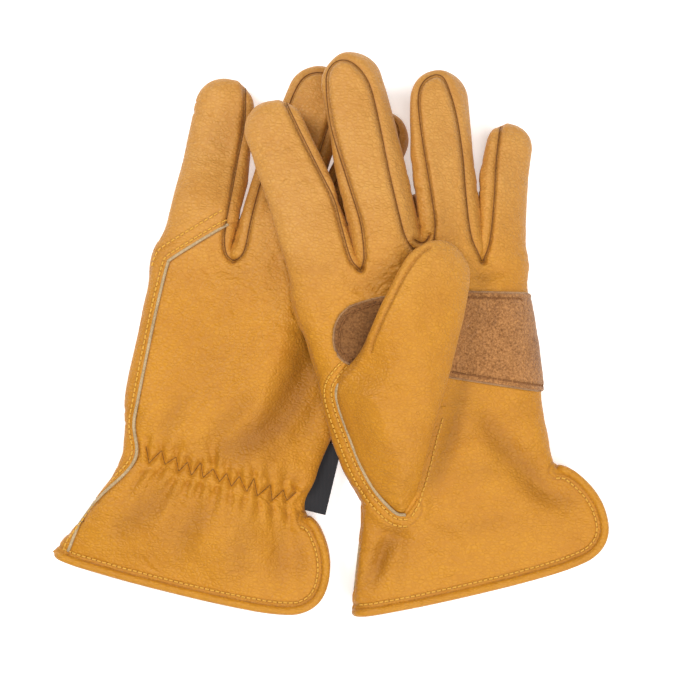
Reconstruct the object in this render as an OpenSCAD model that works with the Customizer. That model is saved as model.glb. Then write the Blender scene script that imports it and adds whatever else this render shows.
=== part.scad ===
// A pair of leather work gloves, lying on a table one on the other.
// The right-hand glove lies palm down, and the left-hand glove lies palm up across it.
// Both are the same pattern. Each glove is drawn in its own frame: X towards the little finger,
// Y from the wrist to the fingertips, W out of the palm. world() then lays it on the table.

/* [Leather] */
// Thickness of the cowhide
leather_t = 1.2; // [0.9:0.1:1.6]
// Thickness of the suede strap across the palm
patch_t = 1.2; // [0.8:0.1:1.6]

/* [Hand] */
// Width across the knuckles, laid flat
palm_w = 104; // [94:1:124]
// Width at the wrist
wrist_w = 89; // [76:1:108]
// Width at the hem of the cuff
cuff_w = 121; // [100:1:140]
// Wrist to the crotches of the fingers
palm_l = 107; // [90:1:128]
// Wrist to the hem
cuff_l = 46; // [38:1:56]
// Thickness of the hand, from palm to back
hand_t = 16; // [13:0.5:20]
// Opening of the cuff, from palm to back
cuff_t = 15; // [12:0.5:19]

/* [Fingers] */
// Index finger, crotch to tip
index_l = 83; // [69:1:99]
// Middle finger, crotch to tip
middle_l = 96; // [78:1:112]
// Ring finger, crotch to tip
ring_l = 82; // [69:1:99]
// Little finger, crotch to tip
little_l = 54; // [46:1:66]
// Thickness of the fingers at mid length
finger_t = 17; // [14:0.5:20]
// Side gap between neighbouring fingers
finger_gap = 1.2; // [0.8:0.1:2]
// Height of the bending crease above the crotches
crease_up = 10; // [8:0.5:13]
// Gap in the solids at a bending crease
crease_gap = 0.5; // [0.3:0.1:1]

/* [Thumb] */
// Length of the thumb, heel to tip
thumb_l = 122; // [104:1:134]
// Width of the thumb across its middle
thumb_w = 40; // [34:1:46]
// Thickness of the thumb that lies free on the palm
thumb_t = 12; // [10:0.5:14]
// Thickness of the thumb that is pressed flat under the palm
pressed_thumb_t = 8.6; // [7.6:0.2:10]
// Gap between the thumb and what it lies on
thumb_gap = 1.6; // [1:0.1:2.4]

/* [Trim] */
// Radius of the rolled hem
hem_r = 1.8; // [1.2:0.1:2.4]
// Depth of the slit in the cuff, down from the wrist
slit_gap = 2.4; // [1.5:0.1:3.5]
// Width of the elastic tape
elastic_w = 8; // [6:0.5:11]
// Thickness of the elastic tape
elastic_t = 1; // [0.7:0.1:1.4]
// Length of the woven tag along the side seam
tag_l = 30; // [22:1:38]
// How far the tag stands out of the seam
tag_w = 9; // [6:0.5:12]
// Thickness of the folded tag
tag_t = 0.8; // [0.5:0.1:1.2]

/* [Lie] */
// Turn of the right-hand glove on the table
right_turn = -13.5; // [-18:0.5:-9]
// Turn of the left-hand glove on the table
left_turn = 13.5; // [9:0.5:18]
// Sideways distance between the two wrists
wrist_apart = 114; // [106:1:122]
// How far the left-hand glove lies further from the hem than the right-hand one
wrist_up = 1.5; // [-6:0.5:8]
// Gap between the gloves where one rests on the other
rest_gap = 1; // [0.5:0.1:2]

/* [Hidden] */

// The two gloves, as an index into the lists below.
RIGHT = 0;
LEFT = 1;
INDEX = 0;
MIDDLE = 1;
RING = 2;
LITTLE = 3;

leather = "#dda03c";
suede = "#a8662f";
tape = "#e8e2d6";
black = "#1b1b1d";

// ---- Small helpers
function mix(a, b, t) = a + (b - a) * t;
function clamp(x, lo, hi) = min(max(x, lo), hi);
function ease(a, b, x) = let(t = clamp((x - a) / (b - a), 0, 1)) t * t * (3 - 2 * t);
function signed_power(x, e) = sign(x) * pow(abs(x), e);
function unit(v) = v / norm(v);
function span(a, b, n) = [for (i = [0:n]) mix(a, b, i / n)];

// ---- Fingers
finger_l = [index_l, middle_l, ring_l, little_l];
// Share of the knuckles that each finger takes, from the index to the little finger.
finger_share = [0.292, 0.258, 0.264, 0.186];
// How much wider a finger is at mid length than at its base.
finger_swell = [0.7, 2.6, 1, 1.8];
// How far each finger's base and each crotch lies above or below the knuckles' line.
base_rise = [0, 4, -1, -8];
crotch_rise = [0, 4, -8.5];
// Lean of each finger, positive towards the thumb, for the right-hand and the left-hand glove.
finger_lean = [[3.7, -7.4, -12.7, -24], [7.4, -1.9, -12.1, -22]];
// How far the knuckles lie from the wrist's middle, for the right-hand and the left-hand glove.
knuckle_x = [6, 1.3];
// How square a section is: 1 is an ellipse.
squareness = 0.8;
// Half of the angle that the front and back strips of a finger take.
strip_half = 33;
// Length of a fingertip's rounding.
tip_l = 12;
// The fingertip's cap starts this far before the tip.
cap_l = 4.5;

function share_before(k) = k == 0 ? 0 : finger_share[k - 1] + share_before(k - 1);
function base_x(g, k) = knuckle_x[g] + palm_w * (share_before(k) + finger_share[k] / 2 - 0.5);
function base_y(k) = palm_l + base_rise[k] + crease_up;
function base_half(k) = (palm_w * finger_share[k] - finger_gap) / 2;
// Free length of a finger, from its bending crease to its tip.
function free_l(k) = finger_l[k] - crease_up - base_rise[k];
function tip_scale(v, l, r) = v <= l - r ? 1 : sqrt(max(0, 1 - pow((v - l + r) / r, 2)));
function finger_half(k, v) = base_half(k) + finger_swell[k] * ease(0, 0.5, v / free_l(k));
function finger_high(v) = mix(hand_t, finger_t, ease(0, 25, v)) / 2;

// A point of a finger: v along it from the crease, turn round it from the little-finger side
// through the palm side, off in from its outer surface.
function finger_point(g, k, v, turn, off) =
    let(
        s = tip_scale(v, free_l(k) - off, tip_l),
        u = (finger_half(k, v) - off) * s * signed_power(cos(turn), squareness),
        w = (finger_high(v) - off) * s * signed_power(sin(turn), squareness),
        lean = finger_lean[g][k]
    )
    [
        base_x(g, k) + u * cos(lean) - v * sin(lean),
        base_y(k) + u * sin(lean) + v * cos(lean),
        w
    ];

// ---- Hand
// The hem rises at the corner by the slit.
corner_rise = 14;
// How square the hand's section is.
hand_power = 2.6;
// The part of the hand's length over which it takes the shape of the fingers' bases.
merge_from = 0.72;
// Where the palm leather laps over the back, as an angle round the index finger.
lap_turn = 250;

hem_x = 0.5;
function left_edge(g, y) = y < 0
    ? mix(-wrist_w / 2, hem_x + hem_r - cuff_w / 2, pow(clamp(-y / cuff_l, 0, 1), 1.25))
    : mix(-wrist_w / 2, knuckle_x[g] - palm_w / 2, ease(0, 0.55, y / palm_l));
function right_edge(g, y) = y < 0
    ? mix(wrist_w / 2, hem_x - hem_r + cuff_w / 2, 1 - pow(1 - clamp(-y / cuff_l, 0, 1), 4))
    : mix(wrist_w / 2, knuckle_x[g] + palm_w / 2, ease(0, 0.9, y / palm_l));
function hand_x(g, y) = (left_edge(g, y) + right_edge(g, y)) / 2;
function hand_half(g, y) = (right_edge(g, y) - left_edge(g, y)) / 2;
function hand_high(y) = mix(hand_t, cuff_t, ease(0, 1, -y / cuff_l)) / 2;
function bulge(q) = pow(max(0, 1 - pow(abs(q), hand_power)), 1 / hand_power);
function hem_y(q) = hem_r - cuff_l + corner_rise * pow(max(0, q), 9);
function crotch_x(g, k) = knuckle_x[g] + palm_w * (share_before(k + 1) - 0.5);
function crotch_y(k) = palm_l + crotch_rise[k];
function crotch_point(g, k, turn, off) = [
    crotch_x(g, k),
    crotch_y(k) - off,
    0.75 * (hand_t / 2 - off) * signed_power(sin(turn), squareness)
];

// A column of the hand runs from the hem to the foot of a finger, [finger, angle round it], or
// to a crotch, [finger before it, angle, true].
function column_foot(g, c, off) = len(c) == 3
    ? crotch_point(g, c[0], c[1], off)
    : finger_point(g, c[0], -crease_gap, c[1], off);
function column_side(c) = c[1] > 180 || c[1] < 0 ? -1 : 1;
// Height t of a column is 0 at the hem and 1 at its foot. The slit parts palm and back at the hem.
function hand_point(g, c, t, off) =
    let(
        foot = column_foot(g, c, off),
        outer = column_foot(g, c, 0),
        q = clamp((outer[0] - hand_x(g, outer[1])) / hand_half(g, palm_l), -1, 1),
        side = column_side(c),
        y = mix(hem_y(q), foot[1], t),
        open = slit_gap * ease(0, 8, -y) * pow(max(0, q), 6),
        merge = ease(merge_from, 1, t)
    )
    [
        mix(hand_x(g, y) + (hand_half(g, y) - off) * q, foot[0], merge),
        y,
        mix(side * ((hand_high(y) - off) * bulge(q) + open), foot[2], merge)
    ];

strip_turns = span(90 + strip_half, 90 - strip_half, 4);
wrap_turns = concat(span(lap_turn, 190, 3), span(175, 90 + strip_half, 4));
little_side_turns = [40, 20, 0];
palm_columns = concat(
    [for (a = wrap_turns) [INDEX, a]],
    [for (i = [1:4]) [INDEX, strip_turns[i]]],
    [[INDEX, 90 - strip_half, true]],
    [for (a = strip_turns) [MIDDLE, a]],
    [[MIDDLE, 90 - strip_half, true]],
    [for (a = strip_turns) [RING, a]],
    [[RING, 90 - strip_half, true]],
    [for (a = strip_turns) [LITTLE, a]],
    [for (a = little_side_turns) [LITTLE, a]]
);
back_columns = concat(
    [for (a = span(lap_turn, 270 + strip_half, 4)) [INDEX, a]],
    [[INDEX, -(90 - strip_half), true]],
    [for (a = strip_turns) [MIDDLE, 360 - a]],
    [[MIDDLE, -(90 - strip_half), true]],
    [for (a = strip_turns) [RING, 360 - a]],
    [[RING, -(90 - strip_half), true]],
    [for (a = strip_turns) [LITTLE, 360 - a]],
    [for (a = little_side_turns) [LITTLE, 360.001 - a]]
);
hand_rows = concat(span(0, 0.7, 7), span(0.78, 1, 3));

// ---- Lie on the table
// The left-hand glove lies on the right-hand one's little-finger side, so its thumb side is high.
turns = [right_turn, left_turn];
wrists = [[-wrist_apart / 2, -wrist_up / 2], [wrist_apart / 2, wrist_up / 2]];
thumb_ts = [pressed_thumb_t, thumb_t];
palm_lift = pressed_thumb_t + thumb_gap + patch_t;
// The top of the right-hand glove's fingers where the left-hand glove crosses them.
cross_h = finger_t + palm_lift + rest_gap;
// A palm longer than the one these two places suit carries the lower glove's fingers across.
suited_palm_l = 107;
carried = (palm_l - suited_palm_l) * sin(left_turn - right_turn);
// The left-hand glove is level across its thumb side, and falls to the table at the other.
level_to = carried - 4;
fall_to = carried + 62;

function right_lie(x, y) =
    palm_lift * ease(-cuff_l, -0.25 * cuff_l, y) * (1 - ease(palm_l + 16, palm_l + 46, y))
    * (1 - ease(14, 40, x));
function left_lie(x, y) =
    let(
        along = (clamp(y, -cuff_l, palm_l + 8) + cuff_l) / (palm_l + cuff_l + 8),
        down = 0.07 * max(0, y - palm_l - 8),
        across = 1 - clamp((x - level_to) / (fall_to - level_to), 0, 1)
    )
    max(0, cross_h * along * across - down * across);
function lie(g, x, y) = g == RIGHT ? right_lie(x, y) : left_lie(x, y);
// Half the height of the glove at a place along it, which sets where its middle lies.
function seat(y) = (y > palm_l ? finger_t : y > 0 ? mix(hand_t, finger_t, ease(0, palm_l, y))
    : mix(hand_t, cuff_t + 2 * hem_r, ease(0, 1, -y / cuff_l))) / 2;
function plan(g, x, y) = [
    wrists[g][0] + x * cos(turns[g]) - y * sin(turns[g]),
    wrists[g][1] + x * sin(turns[g]) + y * cos(turns[g])
];
function lay(g, p) =
    let(q = plan(g, p[0], p[1]), up = g == RIGHT ? -p[2] : p[2])
    [q[0], q[1], seat(p[1]) + lie(g, p[0], p[1]) + up];

function world(g, p) = lay(g, p) - foot_of_pair;

// ---- Thumb, which is stitched into a hole in the palm and folded over it
// Lean of the thumb's heel and of its tip towards the fingers.
heel_lean = [0, 2];
tip_lean = [20, 35];
heel_x = -28;
heel_y = -5;
hole_x = -27;
hole_y = 33;
hole_half_w = 17;
hole_half_l = 33;
hole_lean = -8;
thumb_tip_r = 16;
thumb_heel_r = 22;
function thumb_half(v) = mix(thumb_w, 0.78 * thumb_w, ease(0.35, 1, v / thumb_l)) / 2;
function thumb_end(v, off) = v < thumb_heel_r
    ? sqrt(max(0, 1 - pow((thumb_heel_r - v) / (thumb_heel_r - off), 2)))
    : tip_scale(v, thumb_l - off, thumb_tip_r);
function thumb_mid(g) = hand_t / 2 + patch_t + thumb_gap + thumb_ts[g] / 2;
function thumb_point(g, v, turn, off) =
    let(
        s = thumb_end(v, off),
        u = (thumb_half(v) - off) * s * signed_power(cos(turn), squareness),
        w = (thumb_ts[g] / 2 - off) * s * signed_power(sin(turn), squareness),
        lean = mix(heel_lean[g], tip_lean[g], v / thumb_l),
        r = thumb_l * 180 / PI / (tip_lean[g] - heel_lean[g])
    )
    [
        heel_x + r * (cos(heel_lean[g]) - cos(lean)) + u * cos(lean),
        heel_y + r * (sin(lean) - sin(heel_lean[g])) - u * sin(lean),
        thumb_mid(g) + w
    ];

// ---- Solids from grids of points
// A closed sheet between an outer and an inner grid of the same size.
module sheet(outer, inner) {
    rows = len(outer);
    cols = len(outer[0]);
    n = rows * cols;
    points = concat([for (r = outer) each r], [for (r = inner) each r]);
    function at(i, j) = i * cols + j;
    faces = concat(
        [for (i = [0:rows - 2], j = [0:cols - 2]) each [
            [at(i, j), at(i, j + 1), at(i + 1, j + 1)],
            [at(i, j), at(i + 1, j + 1), at(i + 1, j)],
            [n + at(i, j), n + at(i + 1, j + 1), n + at(i, j + 1)],
            [n + at(i, j), n + at(i + 1, j), n + at(i + 1, j + 1)]
        ]],
        [for (j = [0:cols - 2]) each [
            [at(0, j + 1), at(0, j), n + at(0, j)],
            [at(0, j + 1), n + at(0, j), n + at(0, j + 1)],
            [at(rows - 1, j), at(rows - 1, j + 1), n + at(rows - 1, j + 1)],
            [at(rows - 1, j), n + at(rows - 1, j + 1), n + at(rows - 1, j)]
        ]],
        [for (i = [0:rows - 2]) each [
            [at(i, 0), at(i + 1, 0), n + at(i + 1, 0)],
            [at(i, 0), n + at(i + 1, 0), n + at(i, 0)],
            [at(i + 1, cols - 1), at(i, cols - 1), n + at(i, cols - 1)],
            [at(i + 1, cols - 1), n + at(i, cols - 1), n + at(i + 1, cols - 1)]
        ]]
    );
    polyhedron(points, faces, 4);
}

// A closed shell on rings of points, of the cells that keep[row][column] names. With tops, the
// last ring is closed by a fan to the outer and the inner top.
module shell(outer, inner, keep, tops = []) {
    rows = len(outer);
    cols = len(outer[0]);
    n = rows * cols;
    points = concat([for (r = outer) each r], [for (r = inner) each r], tops);
    function at(i, j) = i * cols + j % cols;
    function kept(i, j) = i >= 0 && i < rows - 1 && keep[i][(j + cols) % cols];
    faces = concat(
        [for (i = [0:rows - 2], j = [0:cols - 1]) if (kept(i, j))
            let(a = at(i, j), b = at(i, j + 1), c = at(i + 1, j + 1), d = at(i + 1, j)) each [
                [a, b, c],
                [a, c, d],
                [n + a, n + c, n + b],
                [n + a, n + d, n + c],
                if (!kept(i - 1, j)) each [[b, a, n + a], [b, n + a, n + b]],
                if (!kept(i + 1, j) && !(len(tops) > 0 && i == rows - 2))
                    each [[d, c, n + c], [d, n + c, n + d]],
                if (!kept(i, j - 1)) each [[a, d, n + d], [a, n + d, n + a]],
                if (!kept(i, j + 1)) each [[c, b, n + b], [c, n + b, n + c]]
            ]],
        [if (len(tops) > 0) for (j = [0:cols - 1])
            let(d = at(rows - 1, j), c = at(rows - 1, j + 1)) each [
                [d, c, 2 * n],
                [n + c, n + d, 2 * n + 1]
            ]]
    );
    polyhedron(points, faces, 4);
}

// A round bead along a path of [point, direction out of the edge].
module bead(path, r, sides = 8) {
    m = len(path);
    function tangent(i) = unit(path[min(i + 1, m - 1)][0] - path[max(i - 1, 0)][0]);
    rings = [for (i = [0:m - 1])
        let(t = tangent(i), a = unit(path[i][1] - t * (path[i][1] * t)), b = cross(t, a))
        [for (s = [0:sides - 1]) path[i][0] + r * (a * cos(s * 360 / sides) + b * sin(s * 360 / sides))]
    ];
    faces = concat(
        [for (i = [0:m - 2], s = [0:sides - 1]) let(e = (s + 1) % sides) each [
            [i * sides + s, (i + 1) * sides + e, i * sides + e],
            [i * sides + s, (i + 1) * sides + s, (i + 1) * sides + e]
        ]],
        [[for (s = [0:sides - 1]) s]],
        [[for (s = [sides - 1:-1:0]) (m - 1) * sides + s]]
    );
    polyhedron([for (r = rings) each r], faces, 4);
}

// The right-hand glove is laid palm down, which turns its sheets inside out, so the two
// sides of each sheet change places there.
module laid_sheet(g, outer, inner) {
    out = [for (r = outer) [for (p = r) world(g, p)]];
    in = [for (r = inner) [for (p = r) world(g, p)]];
    if (g == RIGHT) sheet(in, out); else sheet(out, in);
}
module laid_shell(g, outer, inner, keep, tops = []) {
    out = [for (r = outer) [for (p = r) world(g, p)]];
    in = [for (r = inner) [for (p = r) world(g, p)]];
    top = [for (p = tops) world(g, p)];
    if (g == RIGHT) shell(in, out, keep, len(top) > 0 ? [top[1], top[0]] : []);
    else shell(out, in, keep, top);
}

// ---- Pieces of a finger
// Once round a finger: the front strip, the side by the thumb, the back strip, the other side.
ring_turns = concat(
    span(90 - strip_half, 90 + strip_half, 4),
    [for (i = [1:3]) mix(90 + strip_half, 270 - strip_half, i / 4)],
    span(270 - strip_half, 270 + strip_half, 4),
    [for (i = [1:3]) mix(270 + strip_half, 450 - strip_half, i / 4)]
);
// Which of the ring's sixteen cells each piece takes.
front_cells = [0, 3];
inner_side_cells = [4, 7];
back_cells = [8, 11];
outer_side_cells = [12, 15];
wrap_cells = [0, 11];
little_front_cells = [-2, 3];
little_back_cells = [8, 13];
function taken(j, cells) = (j >= cells[0] && j <= cells[1]) || j - 16 >= cells[0];
function finger_stations(k) = concat(
    span(0, free_l(k) - tip_l, 5),
    [for (s = [0.3, 0.55]) free_l(k) - tip_l + s * (tip_l - cap_l)],
    [free_l(k) - cap_l, free_l(k) - 0.35 * cap_l]
);
// Only a capped piece goes round the tip.
module finger_piece(g, k, cells, capped = false) {
    stations = finger_stations(k);
    rings = capped ? len(stations) : len(stations) - 1;
    function grid(off) = [for (i = [0:rings - 1])
        [for (a = ring_turns) finger_point(g, k, stations[i] * (free_l(k) - off) / free_l(k), a, off)]];
    keep = [for (i = [0:rings - 2]) [for (j = [0:15]) (capped && i == rings - 2) || taken(j, cells)]];
    tops = capped ? [
        finger_point(g, k, free_l(k), 90, 0),
        finger_point(g, k, free_l(k) - leather_t, 90, leather_t)
    ] : [];
    color(leather) laid_shell(g, grid(0), grid(leather_t), keep, tops);
}
outer_side_turns = span(90 - strip_half, -(90 - strip_half), 4);

// The quirk is the small gusset that turns the side strips round a crotch.
module quirk(g, k) {
    turns = outer_side_turns;
    function grid(off) = [
        [for (a = turns) finger_point(g, k, -crease_gap, a, off)],
        [for (a = turns) crotch_point(g, k, a, off)],
        [for (a = turns) finger_point(g, k + 1, -crease_gap, 180 - a, off)]
    ];
    color(leather) laid_sheet(g, grid(leather_t), grid(0));
}

// ---- Pieces of the hand
module hand_sheet(g, columns, rows, out, in) {
    function grid(off) = [for (t = rows) [for (c = columns) hand_point(g, c, t, off)]];
    laid_sheet(g, grid(out), grid(in));
}
module laid_prism(g, outline) {
    translate([-foot_of_pair[0], -foot_of_pair[1], -20])
        translate([wrists[g][0], wrists[g][1], 0])
            rotate([0, 0, turns[g]])
                linear_extrude(120) polygon(outline);
}
function oval(x, y, half_w, half_l, lean, n = 32) = [for (i = [0:n - 1])
    let(a = 360 * i / n, u = half_w * cos(a), v = half_l * sin(a))
    [x + u * cos(lean) - v * sin(lean), y + u * sin(lean) + v * cos(lean)]
];
thumb_hole = oval(hole_x, hole_y, hole_half_w, hole_half_l, hole_lean);
module palm(g) {
    color(leather) difference() {
        hand_sheet(g, palm_columns, hand_rows, 0, leather_t);
        laid_prism(g, thumb_hole);
    }
}
module back(g) {
    flipped = [for (i = [len(back_columns) - 1:-1:0]) back_columns[i]];
    color(leather) hand_sheet(g, flipped, hand_rows, 0, leather_t);
}

// The suede strap: a round end by the index finger, wider at the little-finger edge.
patch_end_x = knuckle_x[LEFT] - 0.26 * palm_w;
patch_end_y = 0.74 * palm_l;
patch_end_r = 15;
patch_lift = 0.05;
patch_side_top = 0.79 * palm_l;
patch_side_foot = 0.37 * palm_l;
patch_outline = concat(
    [for (a = span(85, 245, 8)) [patch_end_x + patch_end_r * cos(a), patch_end_y + patch_end_r * sin(a)]],
    [[palm_w, patch_side_foot - 10], [palm_w, patch_side_top - 2]]
);
module palm_patch(g) {
    first = len(wrap_turns) - 4;
    columns = [for (i = [first:len(palm_columns) - 2]) palm_columns[i]];
    color(suede) intersection() {
        hand_sheet(g, columns, span(0.42, 0.96, 7), -patch_lift - patch_t, -patch_lift);
        laid_prism(g, patch_outline);
        difference() {
            laid_prism(g, [[-palm_w, -palm_w], [palm_w, -palm_w], [palm_w, 2 * palm_w], [-palm_w, 2 * palm_w]]);
            laid_prism(g, thumb_hole);
        }
    }
}
module wrist_elastic(g) {
    columns = [for (i = [len(back_columns) - 3:-1:1]) back_columns[i]];
    middle = cuff_l / (cuff_l + palm_l);
    half = elastic_w / 2 / (cuff_l + palm_l);
    inset = leather_t + 0.1;
    color(tape) hand_sheet(g, columns, span(middle - half, middle + half, 1), inset, inset + elastic_t);
}

// The hem's bead runs down the slit's palm edge, round the mouth, and up its back edge.
slit_rows = [0.26, 0.2, 0.14, 0.08, 0.03];
function hem_out(q) = unit([1.2 * pow(max(0, q), 8), -1, 0]);
function hem_path(g) =
    let(
        edge_palm = palm_columns[len(palm_columns) - 1],
        edge_back = back_columns[len(back_columns) - 1],
        clear = hem_r + 0.05,
        round = concat(
            [for (i = [len(palm_columns) - 1:-1:0]) palm_columns[i]],
            [for (i = [1:len(back_columns) - 1]) back_columns[i]]
        )
    )
    concat(
        [for (t = slit_rows) [hand_point(g, edge_palm, t, leather_t / 2) + [clear, -clear / 4, 0], [1, -0.2, 0]]],
        [for (c = round)
            let(p = hand_point(g, c, 0, leather_t / 2), o = hem_out((p[0] - hand_x(g, p[1])) / hand_half(g, p[1])))
            [p + o * clear, o]],
        [for (i = [len(slit_rows) - 1:-1:0])
            [hand_point(g, edge_back, slit_rows[i], leather_t / 2) + [clear, -clear / 4, 0], [1, -0.2, 0]]]
    );
module cuff_binding(g) {
    path = hem_path(g);
    laid = [for (b = path)
        let(p = world(g, b[0]), o = world(g, b[0] + b[1]) - p)
        [p, unit(o)]
    ];
    color(leather) bead(laid, hem_r);
}

// ---- Pieces of the thumb
thumb_stations = concat(
    [for (s = [0.12, 0.35, 0.65, 1]) s * thumb_heel_r],
    span(0.32 * thumb_l, thumb_l - thumb_tip_r, 4),
    [for (s = [0.35, 0.65]) thumb_l - thumb_tip_r * (1 - s)],
    [thumb_l - cap_l, thumb_l - 0.35 * cap_l]
);
module thumb_piece(g, front) {
    rings = len(thumb_stations) - (front ? 0 : 1);
    function grid(off) = [for (i = [0:rings - 1]) [for (a = [0:18:342]) thumb_point(g, thumb_stations[i], a, off)]];
    keep = [for (i = [0:rings - 2]) [for (j = [0:19]) (front && i == rings - 2) || ((j < 10) == front)]];
    tops = front ? [
        thumb_point(g, thumb_l, 90, 0),
        thumb_point(g, thumb_l - leather_t, 90, leather_t)
    ] : [];
    laid_shell(g, grid(0), grid(leather_t), keep, tops);
}
module thumb_front(g) { color(leather) thumb_piece(g, true); }
module thumb_back(g) {
    color(leather) difference() {
        thumb_piece(g, false);
        laid_prism(g, thumb_hole);
    }
}

// The woven tag is folded double and caught in the little-finger side seam.
module tag(g) {
    seam_x = wrist_w / 2 + hem_r;
    foot_y = 2;
    function grid(w) = [for (y = span(foot_y, foot_y + tag_l, 3)) [for (x = [seam_x, seam_x + tag_w]) [x, y, w]]];
    color(black) laid_sheet(g, grid(tag_t / 2), grid(-tag_t / 2));
}

// ---- The pair's own box, so that the origin sits at the middle of its foot
edge_points = [
    for (g = [RIGHT, LEFT], k = [INDEX:LITTLE], a = [0:15:345], v = [0.2, 0.6, 0.85, 0.93, 1])
        lay(g, finger_point(g, k, v * free_l(k), a, 0)),
    for (g = [RIGHT, LEFT], b = hem_path(g)) lay(g, b[0] + b[1] * hem_r),
    for (v = span(0.1, 0.95, 8), a = [18:18:162]) lay(RIGHT, thumb_point(RIGHT, v * thumb_l, a, 0))
];
function column_of(list, i) = [for (p = list) p[i]];
box_lo = [for (i = [0:2]) min(column_of(edge_points, i))];
box_hi = [for (i = [0:2]) max(column_of(edge_points, i))];
foot_of_pair = [(box_lo[0] + box_hi[0]) / 2, (box_lo[1] + box_hi[1]) / 2, box_lo[2]];

palm(RIGHT);  // right_palm
back(RIGHT);  // right_back
finger_piece(RIGHT, INDEX, wrap_cells, true);  // right_index_wrap
finger_piece(RIGHT, INDEX, outer_side_cells);  // right_index_fourchette
finger_piece(RIGHT, MIDDLE, front_cells);  // right_middle_front
finger_piece(RIGHT, MIDDLE, back_cells, true);  // right_middle_back
finger_piece(RIGHT, MIDDLE, inner_side_cells);  // right_middle_fourchette_inner
finger_piece(RIGHT, MIDDLE, outer_side_cells);  // right_middle_fourchette_outer
finger_piece(RIGHT, RING, front_cells);  // right_ring_front
finger_piece(RIGHT, RING, back_cells, true);  // right_ring_back
finger_piece(RIGHT, RING, inner_side_cells);  // right_ring_fourchette_inner
finger_piece(RIGHT, RING, outer_side_cells);  // right_ring_fourchette_outer
finger_piece(RIGHT, LITTLE, little_front_cells);  // right_little_front
finger_piece(RIGHT, LITTLE, little_back_cells, true);  // right_little_back
finger_piece(RIGHT, LITTLE, inner_side_cells);  // right_little_fourchette
quirk(RIGHT, INDEX);  // right_quirk_index_middle
quirk(RIGHT, MIDDLE);  // right_quirk_middle_ring
quirk(RIGHT, RING);  // right_quirk_ring_little
thumb_front(RIGHT);  // right_thumb_front
thumb_back(RIGHT);  // right_thumb_back
palm_patch(RIGHT);  // right_palm_patch
wrist_elastic(RIGHT);  // right_wrist_elastic
cuff_binding(RIGHT);  // right_cuff_binding
tag(RIGHT);  // right_tag
palm(LEFT);  // left_palm
back(LEFT);  // left_back
finger_piece(LEFT, INDEX, wrap_cells, true);  // left_index_wrap
finger_piece(LEFT, INDEX, outer_side_cells);  // left_index_fourchette
finger_piece(LEFT, MIDDLE, front_cells);  // left_middle_front
finger_piece(LEFT, MIDDLE, back_cells, true);  // left_middle_back
finger_piece(LEFT, MIDDLE, inner_side_cells);  // left_middle_fourchette_inner
finger_piece(LEFT, MIDDLE, outer_side_cells);  // left_middle_fourchette_outer
finger_piece(LEFT, RING, front_cells);  // left_ring_front
finger_piece(LEFT, RING, back_cells, true);  // left_ring_back
finger_piece(LEFT, RING, inner_side_cells);  // left_ring_fourchette_inner
finger_piece(LEFT, RING, outer_side_cells);  // left_ring_fourchette_outer
finger_piece(LEFT, LITTLE, little_front_cells);  // left_little_front
finger_piece(LEFT, LITTLE, little_back_cells, true);  // left_little_back
finger_piece(LEFT, LITTLE, inner_side_cells);  // left_little_fourchette
quirk(LEFT, INDEX);  // left_quirk_index_middle
quirk(LEFT, MIDDLE);  // left_quirk_middle_ring
quirk(LEFT, RING);  // left_quirk_ring_little
thumb_front(LEFT);  // left_thumb_front
thumb_back(LEFT);  // left_thumb_back
palm_patch(LEFT);  // left_palm_patch
wrist_elastic(LEFT);  // left_wrist_elastic
cuff_binding(LEFT);  // left_cuff_binding
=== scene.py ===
"""A pair of leather work gloves on a pale floor: the right-hand glove palm down, the left-hand one
palm up across it. Each glove is shaped flat in its own frame, in millimetres: x towards the little
finger, y from the wrist to the fingertips, w out of the palm. It is then laid on the table."""
import math

import bpy
import numpy as np
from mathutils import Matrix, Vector
from mathutils.bvhtree import BVHTree


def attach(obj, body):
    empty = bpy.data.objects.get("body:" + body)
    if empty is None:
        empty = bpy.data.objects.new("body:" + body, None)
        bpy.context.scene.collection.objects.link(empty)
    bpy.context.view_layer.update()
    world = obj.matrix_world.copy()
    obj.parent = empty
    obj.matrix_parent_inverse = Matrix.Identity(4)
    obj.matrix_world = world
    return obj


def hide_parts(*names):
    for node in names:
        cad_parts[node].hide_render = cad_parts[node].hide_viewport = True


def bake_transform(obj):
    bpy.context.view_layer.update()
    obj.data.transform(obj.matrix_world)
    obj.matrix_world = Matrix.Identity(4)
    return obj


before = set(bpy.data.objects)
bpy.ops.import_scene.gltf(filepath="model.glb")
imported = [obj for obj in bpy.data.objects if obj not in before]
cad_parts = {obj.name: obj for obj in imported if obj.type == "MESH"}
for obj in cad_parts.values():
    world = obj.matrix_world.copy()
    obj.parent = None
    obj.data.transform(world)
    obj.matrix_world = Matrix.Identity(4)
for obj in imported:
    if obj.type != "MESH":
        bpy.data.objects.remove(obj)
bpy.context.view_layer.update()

bl_info = {
    "name": "Leather Work Gloves",
    "version": (1, 0, 0),
    "blender": (4, 5, 0),
    "location": "View3D > Sidebar > Gloves",
    "description": "Makes a pair of leather driver-style work gloves lying one across the other",
    "category": "Add Mesh",
}

MM = 0.001
RNG_SEED = 7
BOTH = ("right", "left")

# ---- Where each glove lies, as in the solid model
WRIST = {"right": (-57.2, -69.9), "left": (56.8, -68.4)}
TURN = {"right": -13.5, "left": 13.5}
UP = {"right": -1, "left": 1}
HAND_T = 16.0
FINGER_T = 17.0
CUFF_T = 18.6
PALM_L = 107.0
CUFF_L = 46.0
LEATHER_T = 1.2
# The right-hand glove lies on its folded thumb, and the left-hand one on the right-hand fingers.
THUMB_LIFT = 11.4
CROSS_H = 29.4
# The left-hand glove is level to the first place across it, and down on the table at the second.
LEVEL_TO = -4.0
FALL_TO = 62.0
# How fast its fingers drop past the crotches, for each millimetre along.
FALL_SLOPE = 0.07
# A thin gap under each glove, and the height below which its leather flattens on the table.
REST_GAP = 0.25
PRESSED_H = 1.2

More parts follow.
